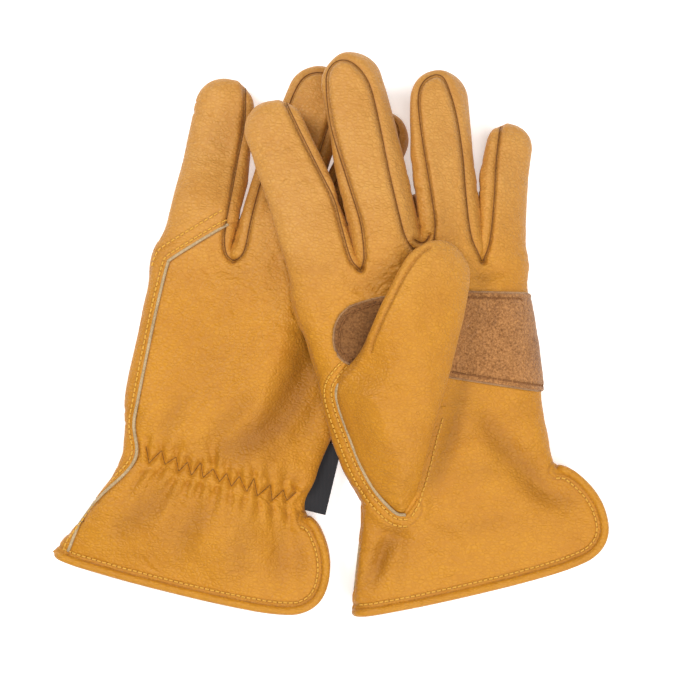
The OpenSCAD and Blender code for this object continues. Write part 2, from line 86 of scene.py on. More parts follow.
# ---- Pattern of the two gloves, x, y and radius along each finger
FINGERS = {
    "left": {
        "index": [(-35.5, 95, 15.5), (-38.5, 145, 15.2), (-43.3, 176.5, 13.5)],
        "middle": [(-6.0, 105, 15.2), (-5.5, 150, 15.7), (-4.6, 189, 13.8)],
        "ring": [(22, 103, 14.4), (27.2, 148, 14.3), (32.6, 174.5, 13)],
        "little": [(43.4, 97, 10.8), (53, 134, 11.3), (58.8, 146.5, 10.5)],
    },
    "right": {
        "index": [(-31, 97, 15.5), (-31, 140, 15.6), (-34.5, 172.3, 13.6)],
        "middle": [(-0.5, 105, 15.2), (1.5, 148, 15.6), (6.5, 187, 14)],
        "ring": [(27, 103, 14.2), (32, 148, 14.3), (38, 175, 13.3)],
        "little": [(48, 97, 10.8), (58, 134, 11.3), (66, 146, 10.5)],
    },
}
HAND = {
    "left": [
        (-50.5, 104), (-50.8, 82), (-50.3, 66), (-50.5, 52), (-49.9, 38), (-49.2, 25), (-47, 15),
        (-44.8, 6.7), (-45.9, -2), (-51.6, -19), (-55, -28), (-59.4, -41.6), (-64, -60),
        (68, -60), (68, -25), (64, -12), (57, -3.4), (50, -1), (45, 3), (44.8, 15.5), (45.6, 29),
        (48, 42), (51.7, 80), (53.4, 96), (44, 99), (34, 98.5), (20, 107), (6.5, 111), (-6, 110.5),
        (-20.4, 107), (-36, 106),
    ],
    "right": [
        (-46.5, 104), (-47.2, 85), (-47, 66), (-46.8, 47), (-45.6, 32), (-42.8, 20), (-41.4, 10),
        (-43, -1), (-49.5, -17), (-54, -28), (-60.4, -40), (-65, -60), (68, -60), (68, -25),
        (64, -12), (57, -3.4), (50, -1), (45, 3), (45.2, 15.5), (47, 29), (50, 45), (55, 80),
        (57.5, 96), (48, 99), (38.5, 98.5), (25, 107), (12, 111), (-1, 110.5), (-13, 106.5),
        (-30, 106),
    ],
}
# Where the fingers bend, and the crotches between them.
CREASE_Y = {"index": 117, "middle": 121, "ring": 116, "little": 109}
# How far past its crease a finger starts to bend, and has bent fully. The ring and little fingers
# are one piece of leather up to where they part, so they bend from there.
BENDS = {"index": (0.5, 24), "middle": (0.5, 24), "ring": (9, 30), "little": (12, 32)}
CROTCHES = {
    "left": [(-20.4, 107), (6.5, 111), (34, 98.5)],
    "right": [(-13, 106.5), (12, 111), (38.5, 98.5)],
}
# The hem, the rounded corner and the slit, from the thumb side to the top of the slit.
HEM = [
    (-80, -38), (-60, -43.2), (-45, -44.6), (-20, -45.6), (10, -45.8), (34, -45), (47, -43.4),
    (52.5, -41.6), (56.8, -38.4), (59.6, -34), (60.6, -28), (60, -21), (57.6, -14), (54, -8),
    (50.6, -3.8), (48, -2), (45.6, -1.4),
]
# The lap on the back of the hand where the palm's wrapped strip is sewn over the back.
LAP = {
    "right": [
        (-13, 124), (-19.2, 120.8), (-30, 110.2), (-40.3, 99.6), (-41.4, 97), (-41.7, 85),
        (-41.4, 66), (-40.2, 34), (-39.4, 23), (-35.4, 11.5), (-37.3, 2.6), (-46.7, -12),
        (-52.9, -25), (-57, -47),
    ],
}
LAP["left"] = [(x - 3.5, y) if y > 30 else (x - 2, y) for x, y in LAP["right"]]
# The seam where the thumb is let into the palm, from its top round the heel.
THUMB_SEAM = [
    (-25.9, 75.4), (-31.7, 67.8), (-40, 61.9), (-43.6, 57.5), (-44.3, 50), (-42.8, 35.5),
    (-41, 22), (-37.6, 9.7), (-32.8, 0.4), (-29.8, -3.4), (-26.4, -4.6), (-23.4, -2.4),
]
THUMB_OUT = {
    "left": [
        (-26, 75.4), (-15.2, 90), (-1.8, 105.3), (3.6, 109.6), (8.9, 111.6), (13.4, 112.2),
        (17.6, 111.3), (21.8, 108.6), (24.6, 104.4), (26.4, 99.5), (26.4, 93.9), (22.5, 83),
        (14.3, 66.7), (6, 51), (-3.7, 34), (-10.8, 19.6), (-18.3, 5.3), (-22.4, -2.4),
        (-26.4, -5.4), (-30.4, -4.6), (-34.2, 0.4), (-39, 9.7), (-42.6, 22), (-44.6, 35.5),
        (-46, 50), (-45.2, 57.5), (-41, 63.4), (-32.7, 68.8),
    ],
    "right": [
        (-44, 20), (-46, 40), (-43, 62), (-36, 84), (-26, 103), (-20, 111), (-12, 115),
        (-4, 115), (3, 110), (6, 101), (3, 88), (-4, 62), (-9, 40), (-11, 18), (-16, 3),
        (-26, -4), (-36, 0), (-42, 9),
    ],
}
# The turned seam along the thumb's inner edge.
THUMB_EDGE_SEAM = [
    (-24.6, 71), (-21.6, 76.6), (-12.2, 88.9), (-4.4, 98), (1, 103.4), (6.4, 107.6), (11, 109.6),
]
# Half the thickness of each thumb: one is puffed up, and one is pressed flat under its glove.
THUMB_HALF = {"left": 7.2, "right": 4.1}
# The suede strap across the palm, and how far in from its edge it is sewn.
STRAP_ROW = 2.6
PATCH = [
    (-39.9, 77.4), (-39.2, 72.6), (-37.2, 69), (-33, 66.4), (-24, 62), (-8, 56.6), (5.7, 51.7),
    (24, 44.2), (46.5, 35), (60, 30), (60, 77), (51.3, 79.6), (38, 83), (24.6, 86.4), (5, 90.4),
    (-13, 92.9), (-26.7, 92.6), (-31.7, 91), (-35.6, 88), (-38.4, 83.4),
]
# Turned seams on the palm side of the fingers, and on the back of them.
PALM_SEAMS = {
    "left": [
        [(9.3, 108), (6, 109.4), (3.2, 113), (2, 118), (1.8, 126), (1.9, 144), (2.6, 162), (3, 178),
         (2.5, 187), (0.2, 193.6), (-3.4, 198.2), (-7.8, 200), (-12, 198.6), (-15.4, 194), (-17.4, 184),
         (-18.4, 173), (-18.2, 162), (-16.9, 143), (-16, 127), (-17.7, 113), (-20.2, 107.4)],
        [(9.3, 108), (12.6, 109.6), (14.8, 114), (16.9, 122), (18.5, 140), (20.1, 160), (22.5, 176),
         (26.4, 182.8), (32.1, 185.2), (36, 183.4), (37.4, 177), (37.9, 165), (36.4, 147),
         (33.5, 129), (31.5, 111), (33.6, 99)],
        [(6, 114.6), (8, 113), (9.4, 112.6), (11, 113.2), (12.6, 115)],
        [(57.4, 157), (55.4, 153.6), (50.6, 141), (45.4, 124), (39.3, 107), (34.4, 98.8)],
        [(-35.6, 189.6), (-33.8, 180), (-30, 163), (-27.4, 152), (-24.7, 140), (-24.3, 127),
         (-23.6, 113), (-20.6, 107)],
    ],
    "right": [],
}
BACK_SEAMS = {
    "right": [
        [(-28.4, 186), (-26.2, 181), (-23.4, 167.9), (-22.3, 149.6), (-20.8, 131.5),
         (-20, 119.4), (-18.6, 111.5), (-16.4, 107), (-13.4, 105.4)],
        [(-13.4, 105.4), (-11, 107), (-9.4, 112), (-9.8, 126), (-9.6, 148), (-6.6, 172), (-4.4, 188),
         (-0.6, 195.6), (6.4, 198), (12, 194.6), (15, 187), (13.6, 170), (12, 148), (11, 126),
         (12, 111)],
        [(12, 111), (16.6, 118), (20.4, 135), (24.4, 158), (28.6, 178), (33, 184.6), (39, 186),
         (44.6, 182.6), (46.2, 175), (43.2, 155), (39.4, 130), (38.4, 99)],
        [(38.5, 99), (46, 116), (53, 137), (58.6, 150)],
    ],
    "left": [
        [(-20.4, 107), (-24.4, 120), (-26.4, 145), (-31, 170), (-35, 184)],
        [(-20.4, 107), (-16.6, 120), (-16, 148), (-14.6, 175), (-10, 196), (-4, 199), (2, 195),
         (6, 175), (5.6, 148), (5.6, 122), (6.5, 111)],
        [(6.5, 111), (12, 120), (17, 145), (22.4, 172), (28, 183.6), (34, 184), (40, 176),
         (38, 150), (34, 125), (34, 98.5)],
        [(34, 98.5), (41.6, 116), (48.6, 137), (53.6, 150)],
    ],
}
# How far in from their edges the hem and the two lapped seams are sewn.
HEM_ROW = 3.7
LAP_ROWS = (2.0, 6.4)
THUMB_ROWS = (1.9, 5.0)
# The middle of the elastic across the back of the wrist, its half width and its half length.
ELASTIC = [(-33, 11.6), (-20, 11), (0, 9.6), (20, 8.2), (41, 6.8)]
ELASTIC_HALF = 4.0
ELASTIC_REACH = 38


# ---- Plan geometry
def ease(a, b, x):
    """0 before a, 1 after b, smooth between."""
    t = np.clip((np.asarray(x, float) - a) / (b - a), 0, 1)
    return t * t * (3 - 2 * t)


def bell(x, width, middle=0.0):
    """1 at the middle, and fading smoothly to nothing at about twice the width to each side."""
    return np.exp(-((x - middle) / width) ** 2)


def along(line, step=1.0):
    """Points at even steps along a smooth curve through the line's points."""
    p = np.array(line, float)
    q = np.vstack([2 * p[0] - p[1], p, 2 * p[-1] - p[-2]])
    out = []
    for i in range(1, len(q) - 2):
        t = np.linspace(0, 1, 12, endpoint=False)[:, None]
        a, b, c, d = q[i - 1], q[i], q[i + 1], q[i + 2]
        out.append(0.5 * (2 * b + (c - a) * t + (2 * a - 5 * b + 4 * c - d) * t ** 2
                          + (3 * b - a - 3 * c + d) * t ** 3))
    out = np.vstack(out + [p[-1:]])
    length = np.r_[0, np.cumsum(np.linalg.norm(np.diff(out, axis=0), axis=1))]
    n = max(3, int(round(length[-1] / step)) + 1)
    at = np.linspace(0, length[-1], n)
    return np.stack([np.interp(at, length, out[:, k]) for k in range(out.shape[1])], 1)


def along_corners(line, step):
    """Points at even steps along a line with its corners kept."""
    p = np.array(line, float)
    length = np.r_[0, np.cumsum(np.linalg.norm(np.diff(p, axis=0), axis=1))]
    at = np.arange(0, length[-1], step)
    return np.stack([np.interp(at, length, p[:, 0]), np.interp(at, length, p[:, 1])], 1)


def line_distance(x, y, line):
    """Distance to a line, which side (positive on the left of its way), and how far along, 0 to 1."""
    p = np.array(line, float)[:, :2]
    best = np.full(np.shape(x), 1e9)
    side = np.zeros(np.shape(x))
    place = np.zeros(np.shape(x))
    for i, (a, b) in enumerate(zip(p[:-1], p[1:])):
        d = b - a
        t = np.clip(((x - a[0]) * d[0] + (y - a[1]) * d[1]) / (d @ d), 0, 1)
        rx, ry = x - a[0] - t * d[0], y - a[1] - t * d[1]
        r = np.hypot(rx, ry)
        near = r < best - 1e-9
        best = np.where(near, r, best)
        side = np.where(near, np.sign(d[0] * (y - a[1]) - d[1] * (x - a[0])), side)
        place = np.where(near, (i + t) / (len(p) - 1), place)
    return best, side, place


def inside_distance(x, y, outline):
    """Distance in from a closed outline, negative outside it."""
    p = np.array(outline, float)
    best, _, _ = line_distance(x, y, np.vstack([p, p[:1]]))
    within = np.zeros(np.shape(x), bool)
    for a, b in zip(p, np.roll(p, -1, axis=0)):
        if a[1] != b[1]:
            cross = (y >= min(a[1], b[1])) & (y < max(a[1], b[1]))
            within ^= cross & (x < a[0] + (y - a[1]) * (b[0] - a[0]) / (b[1] - a[1]))
    return np.where(within, best, -best)


def round_outline(outline, step=2.0):
    """A closed outline with its corners eased."""
    p = np.array(outline + outline[:3], float)
    q = along(p, step=step)
    start = np.argmin(np.linalg.norm(q[:len(q) // 2] - p[1], axis=1))
    stop = len(q) // 2 + np.argmin(np.linalg.norm(q[len(q) // 2:] - p[-2], axis=1))
    return q[start:stop]


def finger_distance(x, y, chain):
    """Distance in from a finger's outline, along its chain of circles."""
    best = np.full(np.shape(x), -1e9)
    for (ax, ay, ar), (bx, by, br) in zip(chain[:-1], chain[1:]):
        dx, dy = bx - ax, by - ay
        t = np.clip(((x - ax) * dx + (y - ay) * dy) / (dx * dx + dy * dy), 0, 1)
        best = np.maximum(best, ar + t * (br - ar) - np.hypot(x - ax - t * dx, y - ay - t * dy))
    return best


def blend_max(a, b, k):
    """The larger of two values, rounded over where they are within k of each other."""
    return np.maximum(a, b) + k / 4 * np.maximum(0, 1 - np.abs(a - b) / k) ** 2


def elastic_y(x):
    """Where the middle of the elastic runs, at a place across the wrist."""
    return np.interp(x, [p[0] for p in ELASTIC], [p[1] for p in ELASTIC])


def value_noise(x, y, size, seed):
    """Smooth random bumps of about the given size, -1 to 1."""
    rng = np.random.default_rng(seed)
    table = rng.uniform(-1, 1, (128, 128))
    u, v = np.asarray(x) / size + 40, np.asarray(y) / size + 40
    i, j = np.floor(u).astype(int), np.floor(v).astype(int)
    fu, fv = u - i, v - j
    fu, fv = fu * fu * (3 - 2 * fu), fv * fv * (3 - 2 * fv)
    at = lambda a, b: table[a % 128, b % 128]
    return ((at(i, j) * (1 - fu) + at(i + 1, j) * fu) * (1 - fv)
            + (at(i, j + 1) * (1 - fu) + at(i + 1, j + 1) * fu) * fv)


# ---- Laying a glove on the table
def lift(glove, x, y):
    """How high whatever lies under a glove raises it."""
    if glove == "right":
        over_thumb = ease(-CUFF_L, -0.25 * CUFF_L, y) * (1 - ease(PALM_L + 16, PALM_L + 46, y))
        return THUMB_LIFT * over_thumb * (1 - ease(14, 40, x))
    top = PALM_L + 8
    run = (np.clip(y, -CUFF_L, top) + CUFF_L) / (top + CUFF_L)
    down = FALL_SLOPE * np.maximum(0, y - top)
    # The glove tips over as it falls, with its bend rounded off at both ends.
    straight = np.clip((x - LEVEL_TO) / (FALL_TO - LEVEL_TO), 0, 1)
    rounded = ease(LEVEL_TO - 14, FALL_TO + 8, x)
    return np.maximum(0, (CROSS_H * run - down) * (1 - 0.35 * rounded - 0.65 * straight))


def seat(y):
    """Height of a glove's middle plane when it lies straight on the table."""
    hand = HAND_T + (FINGER_T - HAND_T) * ease(0, PALM_L, y)
    cuff = HAND_T + (CUFF_T - HAND_T) * ease(0, 1, -np.asarray(y) / CUFF_L)
    return np.where(np.asarray(y) > 0, hand, cuff) / 2 + REST_GAP


def lay(glove, p):
    """Points of a glove's own frame, to metres in the row frame."""
    p = np.atleast_2d(p)
    x, y, w = p[:, 0], p[:, 1], p[:, 2]
    a = math.radians(TURN[glove])
    z = seat(y) + lift(glove, x, y) + UP[glove] * w
    # Leather that would press into the table spreads flat on it.
    z = np.where(z > PRESSED_H, z, PRESSED_H - 1 + np.exp(np.minimum(z, PRESSED_H) - PRESSED_H))
    return np.stack([
        WRIST[glove][0] + x * math.cos(a) - y * math.sin(a),
        WRIST[glove][1] + x * math.sin(a) + y * math.cos(a),
        z,
    ], 1) * MM


# ---- Skins of hollow shapes
def skin(plan, half, low, high, step, power=2.3, rim=14.0):
    """Skin of the shape that is plan(x, y) in from its outline, half(x, y) thick to each side. Its
    side walls are round over the rim. Each crossed cell of a grid gives one vertex."""
    xs, ys = np.arange(low[0], high[0], step), np.arange(low[1], high[1], step)
    top = 11.0
    off_middle = 0.013
    zs = np.arange(-top, top + step, step) + off_middle
    gx, gy = np.meshgrid(xs, ys, indexing="ij")
    d = plan(gx, gy)
    h = half(gx, gy)
    g = np.maximum(0, 1 - d / rim) ** power
    f = ((np.abs(zs)[None, None, :] / h[:, :, None]) ** power + g[:, :, None]) ** (1 / power) - 1
    inside = f < 0
    cells = tuple(n - 1 for n in f.shape)
    total = np.zeros(cells + (3,), np.float32)
    count = np.zeros(cells, np.float32)
    axes = ((1, 0, 0), (0, 1, 0), (0, 0, 1))
    crossings = []
    for k, ax in enumerate(axes):
        lo = tuple(slice(0, n - a) for n, a in zip(f.shape, ax))
        hi = tuple(slice(a, None) for a in ax)
        i = np.argwhere(inside[lo] != inside[hi])
        i = i[np.all([(i[:, m] > 0) & (i[:, m] < f.shape[m] - 1) for m in range(3) if m != k], axis=0)]
        fa, fb = f[tuple(i.T)], f[tuple((i + ax).T)]
        p = i.astype(np.float32)
        p[:, k] += fa / (fa - fb)
        u, v = axes[(k + 1) % 3], axes[(k + 2) % 3]
        around = [i - np.array(u) - np.array(v), i - np.array(v), i, i - np.array(u)]
        for c in around:
            np.add.at(total, tuple(c.T), p)
            np.add.at(count, tuple(c.T), 1)
        crossings.append((around, fa < 0))
    used = count > 0
    number = np.full(cells, -1)
    number[used] = np.arange(used.sum())
    verts = total[used] / count[used][:, None] * step + [xs[0], ys[0], zs[0]]
    quads = []
    for around, leaving in crossings:
        q = np.stack([number[tuple(c.T)] for c in around], 1)
        quads.append(np.where(leaving[:, None], q, q[:, ::-1]))
    quads = np.vstack(quads)
    tris = np.vstack([quads[:, [0, 1, 2]], quads[:, [0, 2, 3]]])
    return smoothed(verts, tris, 2), tris


def smoothed(verts, tris, times):
    """Vertices moved halfway to the mean of their neighbours, so many times."""
    n = len(verts)
    edges = np.vstack([tris[:, [0, 1]], tris[:, [1, 2]], tris[:, [2, 0]]])
    for _ in range(times):
        s = np.zeros_like(verts)
        c = np.zeros(n)
        for a, b in ((0, 1), (1, 0)):
            for m in range(3):
                s[:, m] += np.bincount(edges[:, a], verts[edges[:, b], m], n)
            c += np.bincount(edges[:, a], minlength=n)
        verts = 0.5 * verts + 0.5 * s / c[:, None]
    return verts


def normals_of(verts, tris):
    """Unit normal at each vertex, from the faces round it."""
    n = np.zeros_like(verts)
    face = np.cross(verts[tris[:, 1]] - verts[tris[:, 0]], verts[tris[:, 2]] - verts[tris[:, 0]])
    for k in range(3):
        for m in range(3):
            n[:, m] += np.bincount(tris[:, k], face[:, m], len(verts))
    return n / np.maximum(np.linalg.norm(n, axis=1), 1e-12)[:, None]


def compact(data, tris):
    """The rows that the faces use, and the faces with their numbers in those rows."""
    used = np.unique(tris)
    number = np.full(len(data), -1)
    number[used] = np.arange(len(used))
    return data[used], number[tris]


def trim(data, tris, s):
    """The part of a mesh where s, a value at each vertex, isn't negative. data holds a row of
    values for each vertex, and new vertices on the cut get values between their two ends."""
    keep = s >= 0
    count = keep[tris].sum(1)
    out = [tris[count == 3]]
    extra = []
    base = len(data)
    for wanted in (1, 2):
        t = tris[count == wanted]
        if not len(t):
            continue
        odd = np.argmax(keep[t] == (wanted == 1), axis=1)
        t = np.stack([t[np.arange(len(t)), (odd + k) % 3] for k in range(3)], 1)
        cut = []
        for k in (1, 2):
            lo, hi = np.minimum(t[:, 0], t[:, k]), np.maximum(t[:, 0], t[:, k])
            cut.append(lo * base + hi)
        extra.append((t, cut, wanted))
    if extra:
        keys, where = np.unique(np.concatenate([c for e in extra for c in e[1]]), return_inverse=True)
        a, b = keys // base, keys % base
        f = (s[a] / (s[a] - s[b]))[:, None]
        data = np.vstack([data, data[a] * (1 - f) + data[b] * f])
        at = 0
        for t, cut, wanted in extra:
            m = len(t)
            p, q = base + where[at:at + m], base + where[at + m:at + 2 * m]
            at += 2 * m
            if wanted == 1:
                out.append(np.stack([t[:, 0], p, q], 1))
            else:
                out += [np.stack([p, t[:, 1], t[:, 2]], 1), np.stack([p, t[:, 2], q], 1)]
    return compact(data, np.vstack(out))


# ---- Relief of the leather
def fold(x, y, line, depth, width):
    """A soft valley that fades at both ends; a negative depth makes a ridge."""
    d, _, place = line_distance(x, y, along(line, step=3.0))
    return -depth * bell(d, width) * np.sin(np.pi * np.clip(place, 0.02, 0.98)) ** 0.7


# Each fold's line, its depth and its width; a ridge has a negative depth.
PALM_FOLDS = {
    "left": [
        ([(-27, -9), (-38, -17), (-53, -34)], 3.4, 4.6),
        ([(-22, -12), (-32, -24), (-42, -40)], -1.2, 5.0),
        ([(16, 36), (23, 18), (33, 1), (44, -17)], 3.0, 6.0),
        ([(6, 22), (14, 2), (24, -20)], -1.2, 8.0),
        ([(16, 54), (5, 32), (-5, 13), (-16, -5)], 1.8, 4.5),
        ([(-20, -10), (-12, -22), (-14, -38)], -1.0, 7.0),
        ([(-33, -4), (-40, -16), (-49, -33)], 1.0, 3.0),
        ([(-26, -8), (-31, -20), (-37, -36)], 1.0, 3.4),
        ([(-18, -5), (-10, -14), (4, -18), (20, -17)], 0.9, 4.0),
        ([(-10, 14), (4, 8), (20, 6), (36, 9)], 1.0, 5.5),
        ([(-5, 28), (12, 24), (30, 26), (44, 32)], 0.7, 5.0),
        ([(26, 4), (36, -9), (44, -15), (55, -17)], 2.3, 5.0),
        ([(36, 12), (41, -4), (49, -12)], 1.4, 3.4),
        ([(-48, 12), (-42, 9), (-36, 10)], 0.8, 3.2),
        ([(-46, -3), (-38, -10), (-30, -13)], 0.7, 3.0),
        ([(-30, 103), (-22, 99), (-12, 100)], 0.8, 3.0),
        ([(0, 104), (8, 101), (17, 103)], 0.8, 3.0),
        ([(28, 94), (35, 91), (43, 93)], 0.7, 2.6),
        ([(-42, 112), (-36, 110), (-26, 112)], 0.5, 3.0),
        ([(-47, 86), (-44, 70), (-46, 52)], -0.5, 4.0),
        ([(30, 60), (40, 20), (30, -20)], -0.6, 10.0),
        ([(-40, 150), (-36, 152), (-30, 150)], 0.4, 2.4),
    ],
    "right": [([(-20, 60), (0, 40), (20, 30)], 1.0, 8.0)],
}
BACK_FOLDS = {
    "right": [
        ([(33, 92), (28, 60), (22, 38), (10, 25), (-8, 18)], 4.6, 7.5),
        ([(18, 84), (11, 58), (6, 40), (-8, 30)], -1.4, 9.0),
        ([(40, 62), (37, 44), (33, 28)], 1.6, 4.5),
        ([(22, 2), (20, -14), (24, -34)], 1.4, 6.0),
        ([(-6, 2), (-10, -14), (-12, -30)], 1.0, 6.0),
        ([(40, -4), (46, -16), (50, -30)], 1.4, 3.5),
        ([(-14, 4), (-26, -14), (-38, -30)], 2.6, 6.0),
        ([(2, 2), (-4, -18), (-6, -34)], 2.2, 5.5),
        ([(34, -2), (38, -18), (40, -34)], 1.8, 4.5),
        ([(-26, 16), (-24, 30), (-18, 46)], 1.6, 4.0),
        ([(-6, 14), (0, 30), (10, 52)], 1.8, 5.0),
        ([(18, 14), (26, 28), (38, 44)], 1.8, 4.5),
        ([(14, 92), (8, 66), (2, 44), (-6, 26)], -0.8, 9.0),
        ([(36, 70), (33, 48), (29, 30), (30, 16)], -1.3, 7.0),
        ([(-8, 88), (-14, 60), (-16, 36)], 0.6, 9.0),
        ([(-20, 104), (-13, 100), (-4, 103)], 0.9, 3.2),
        ([(-24, 98), (-14, 93), (0, 96)], 0.4, 3.0),
        ([(-44, 40), (-40, 28), (-38, 16)], 0.5, 4.0),
        ([(-30, 134), (-24, 131), (-21, 128)], 0.4, 2.6),
        ([(-38, 158), (-31, 155), (-25, 156)], 0.4, 2.4),
    ],
    "left": [([(20, 70), (10, 40), (0, 20)], 1.0, 8.0)],
}
# Zigzag of the elastic's stitching: its pitch along the wrist, and its height to each side.
TOOTH = 6.3
TOOTH_HIGH = 3.0


def zigzag_line():
    """Corners of the elastic's zigzag, and whether each points up the hand (1) or down (-1)."""
    rng = np.random.default_rng(RNG_SEED)
    xs = np.arange(-31, 41, TOOTH / 2)
    up = np.where(np.arange(len(xs)) % 2 == 0, 1, -1)
    high = TOOTH_HIGH * rng.uniform(0.6, 1.25, len(xs))
    return np.stack([xs + rng.uniform(-1.0, 1.0, len(xs)), elastic_y(xs) + up * high], 1), up


def gathers(x, y):
    """The back of the wrist drawn up by the elastic: a pinched band, and a crease from each tooth, with the
    painted shade in them.
    """
    v = y - elastic_y(x)
    out = -2.3 * bell(v, 7.5) + 0.9 * bell(np.abs(v), 6.0, 11)
    dark = np.zeros_like(out)
    line, ups = zigzag_line()
    near = np.abs(v) < 46
    xn, yn, vn = x[near], y[near], v[near]
    # The thread sinks into the leather, which swells beside it, and painted shade darkens the sunk line.
    d, _, _ = line_distance(xn, yn, line)
    add = -1.2 * bell(d, 0.75) + bell(d, 1.4, 2.3) * bell(vn, 6.0)
    shade = 0.16 * bell(d, 0.9)
    # Each corner pulls a crease that widens and fades, with a soft ridge beside it and painted shade in it.
    rng = np.random.default_rng(RNG_SEED + 1)
    for (px, py), up in zip(line, ups):
        length = rng.uniform(10, 24) if up > 0 else rng.uniform(18, 40)
        lean = 0.010 * (px - 4) + rng.uniform(-0.12, 0.12)
        lean = lean if up < 0 else -0.35 * lean - 0.12
        depth = rng.uniform(1.3, 2.7)
        t = np.clip((yn - py) * up / length, 0, 1)
        bend = rng.uniform(-1.2, 1.2) * np.sin(t * 3)
        across = xn - px - lean * np.abs(yn - py) - bend
        width = 0.9 + 5.0 * t
        on = ease(0.0, 0.14, t) * (1 - t) ** 1.1
        add -= depth * bell(across, width) * on
        add += 0.6 * depth * bell(across, width * 1.3, 3.1 + 2 * t) * on
        shade = np.maximum(shade, 0.24 * bell(across, 0.8 + 2.4 * t) * on)
    out[near] += np.maximum(add, -2.0)
    dark[near] = shade
    ends = 1 - ease(38, 45, np.abs(x - 4))
    return out * ends, dark * ends


def wrinkles(x, y):
    """Fine wrinkles that run across the hand, stronger in patches."""
    warp = 3.0 * value_noise(x, y, 12, 41)
    lines = value_noise(x * 0.45 + 0.4 * y, y + warp - 0.25 * x, 2.6, 42)
    ridge = 1 - 2 * np.abs(lines)
    patch = np.clip(value_noise(x, y, 22, 43) * 0.9 + 0.35, 0, 1)
    near_crotch = bell(y, 12, 100)
    return -0.50 * np.clip(-ridge, 0, 1) * np.clip(patch + 0.7 * near_crotch, 0, 1.2)


def relief(glove, x, y, w):
    """How far the leather stands out of the plain shape, and how much painted shade it gets in its creases,
    folds and seams.
    """
    palm = ease(-1.5, 1.5, w)
    back = 1 - palm
    out = np.zeros_like(x)
    crease = np.zeros_like(x)
    for seams, part in ((PALM_SEAMS[glove], palm), (BACK_SEAMS[glove], back)):
        for line in seams:
            d, _, _ = line_distance(x, y, along(line, step=2.0))
            out += part * (0.45 * bell(d, 1.7, 2.8) - bell(d, 0.7) - 0.6 * bell(d, 1.7))
            # Painted shade in the groove of each seam.
            crease = np.maximum(crease, part * (0.30 * bell(d, 0.8) + 0.14 * bell(d, 2.0)))
    for folds, part in ((PALM_FOLDS[glove], palm), (BACK_FOLDS[glove], back)):
        for line, depth, width in folds:
            f = fold(x, y, line, depth, width)
            out += f * part
            # Painted shade in the valley of each fold.
            crease = np.maximum(crease, 0.58 * np.clip(-f / 3.6, 0, 1) * part)
    # The wrapped strip lies on the back, one hide thick, and its edge is sewn down, with painted shade along
    # its stitch rows and beside its edge.
    d, side, place = line_distance(x, y, along(LAP[glove], step=2.0))
    s = d * side * -1
    out += back * ease(-0.3, 0.4, s) * (1 - ease(8, 16, s)) * ease(0.0, 0.03, place)
    sewn = back * ease(0.02, 0.05, place)
    for row in LAP_ROWS:
        out -= sewn * 0.28 * bell(s, 0.8, row)
        crease = np.maximum(crease, sewn * 0.30 * bell(s, 0.5, row))
    crease = np.maximum(crease, sewn * 0.55 * bell(s, 0.7, -0.7))
    # The palm's edge round the let-in thumb, with painted shade along its stitch rows.
    if glove == "left":
        d, side, place = line_distance(x, y, along(THUMB_SEAM, step=2.0))
        s = d * side * -1
        sewn = palm * ease(0, 0.06, place)
        out += sewn * 1.1 * ease(-0.2, 0.5, s) * (1 - ease(5, 11, s)) * (d < 14)
        for row in THUMB_ROWS:
            out -= sewn * 0.3 * bell(s, 0.8, row)
            crease = np.maximum(crease, sewn * 0.35 * bell(s, 0.5, row))
    # The elastic's gathers, with painted shade in their creases.
    drawn, dark = gathers(x, y)
    out += back * drawn
    crease = np.maximum(crease, back * dark)
    out += wrinkles(x, y)
    # The hem is turned in under its stitch row, with painted shade in that groove and beside the rolled hem.
    d, _, _ = line_distance(x, y, along(HEM, step=2.0))
    out -= 0.35 * bell(d, 0.8, HEM_ROW)
    crease = np.maximum(crease, 0.42 * bell(d, 0.7, HEM_ROW))
    crease = np.maximum(crease, 0.35 * bell(d, 0.6, 1.9))
    out += 0.34 * value_noise(x, y, 19, 11) + 0.16 * value_noise(x, y, 7, 12)
    return out, crease


class Glove:
    """One glove's outer skin in its own frame, with what each vertex carries."""

    def __init__(self, name, step):
        self.name = name
        self.outline = round_outline(HAND[name])
        self.chains = FINGERS[name]
        verts, tris = skin(self.plan, self.half, (-72, -54), (82, 208), step)
        out, crease = relief(name, verts[:, 0], verts[:, 1], verts[:, 2])
        verts = verts + normals_of(verts, tris) * out[:, None]
        self.verts, self.tris = verts, tris
        self.crease = crease
        self.tree = BVHTree.FromPolygons(verts.tolist(), tris.tolist())
        laid = lay(name, verts)
        order = tris if UP[name] > 0 else tris[:, ::-1]
        self.normals = normals_of(laid, order)

    def plan(self, x, y):
        """Distance in from the outline of the hand and its fingers."""
        d = np.full(np.shape(x), -1e9)
        for chain in self.chains.values():
            d = np.maximum(d, finger_distance(x, y, chain))
        return blend_max(d, inside_distance(x, y, self.outline), 7)

    def half(self, x, y):
        """Half the thickness of the glove, uneven as leather that was worn and laid down."""
        hand = 8.0 + 0.5 * ease(20, 105, y)
        return hand - 0.4 * ease(-10, -40, y) + 0.25 * value_noise(x, y, 30, 5)

    def data(self):
        """x, y, w, normal and crease of each vertex; the crease is the amount of painted shade."""
        return np.hstack([self.verts, self.normals, self.crease[:, None]])

    def drape(self, line, side, out=0.0):
        """Points of a plan line dropped onto the skin, on the palm side (1) or the back (-1)."""
        points = []
        for x, y in line:
            hit = self.tree.ray_cast(Vector((x, y, 40.0 * side)), Vector((0, 0, -side)))
            if hit[0] is not None:
                points.append(np.array(hit[0]) + np.array(hit[1]) * out)
        return np.array(points)


# ---- Meshes
def new_object(name, mesh, finish=None):
    """An object of a mesh, with its material."""
    obj = bpy.data.objects.new(name, mesh)
    bpy.context.collection.objects.link(obj)
    if finish:
        mesh.materials.append(finish)
    return obj


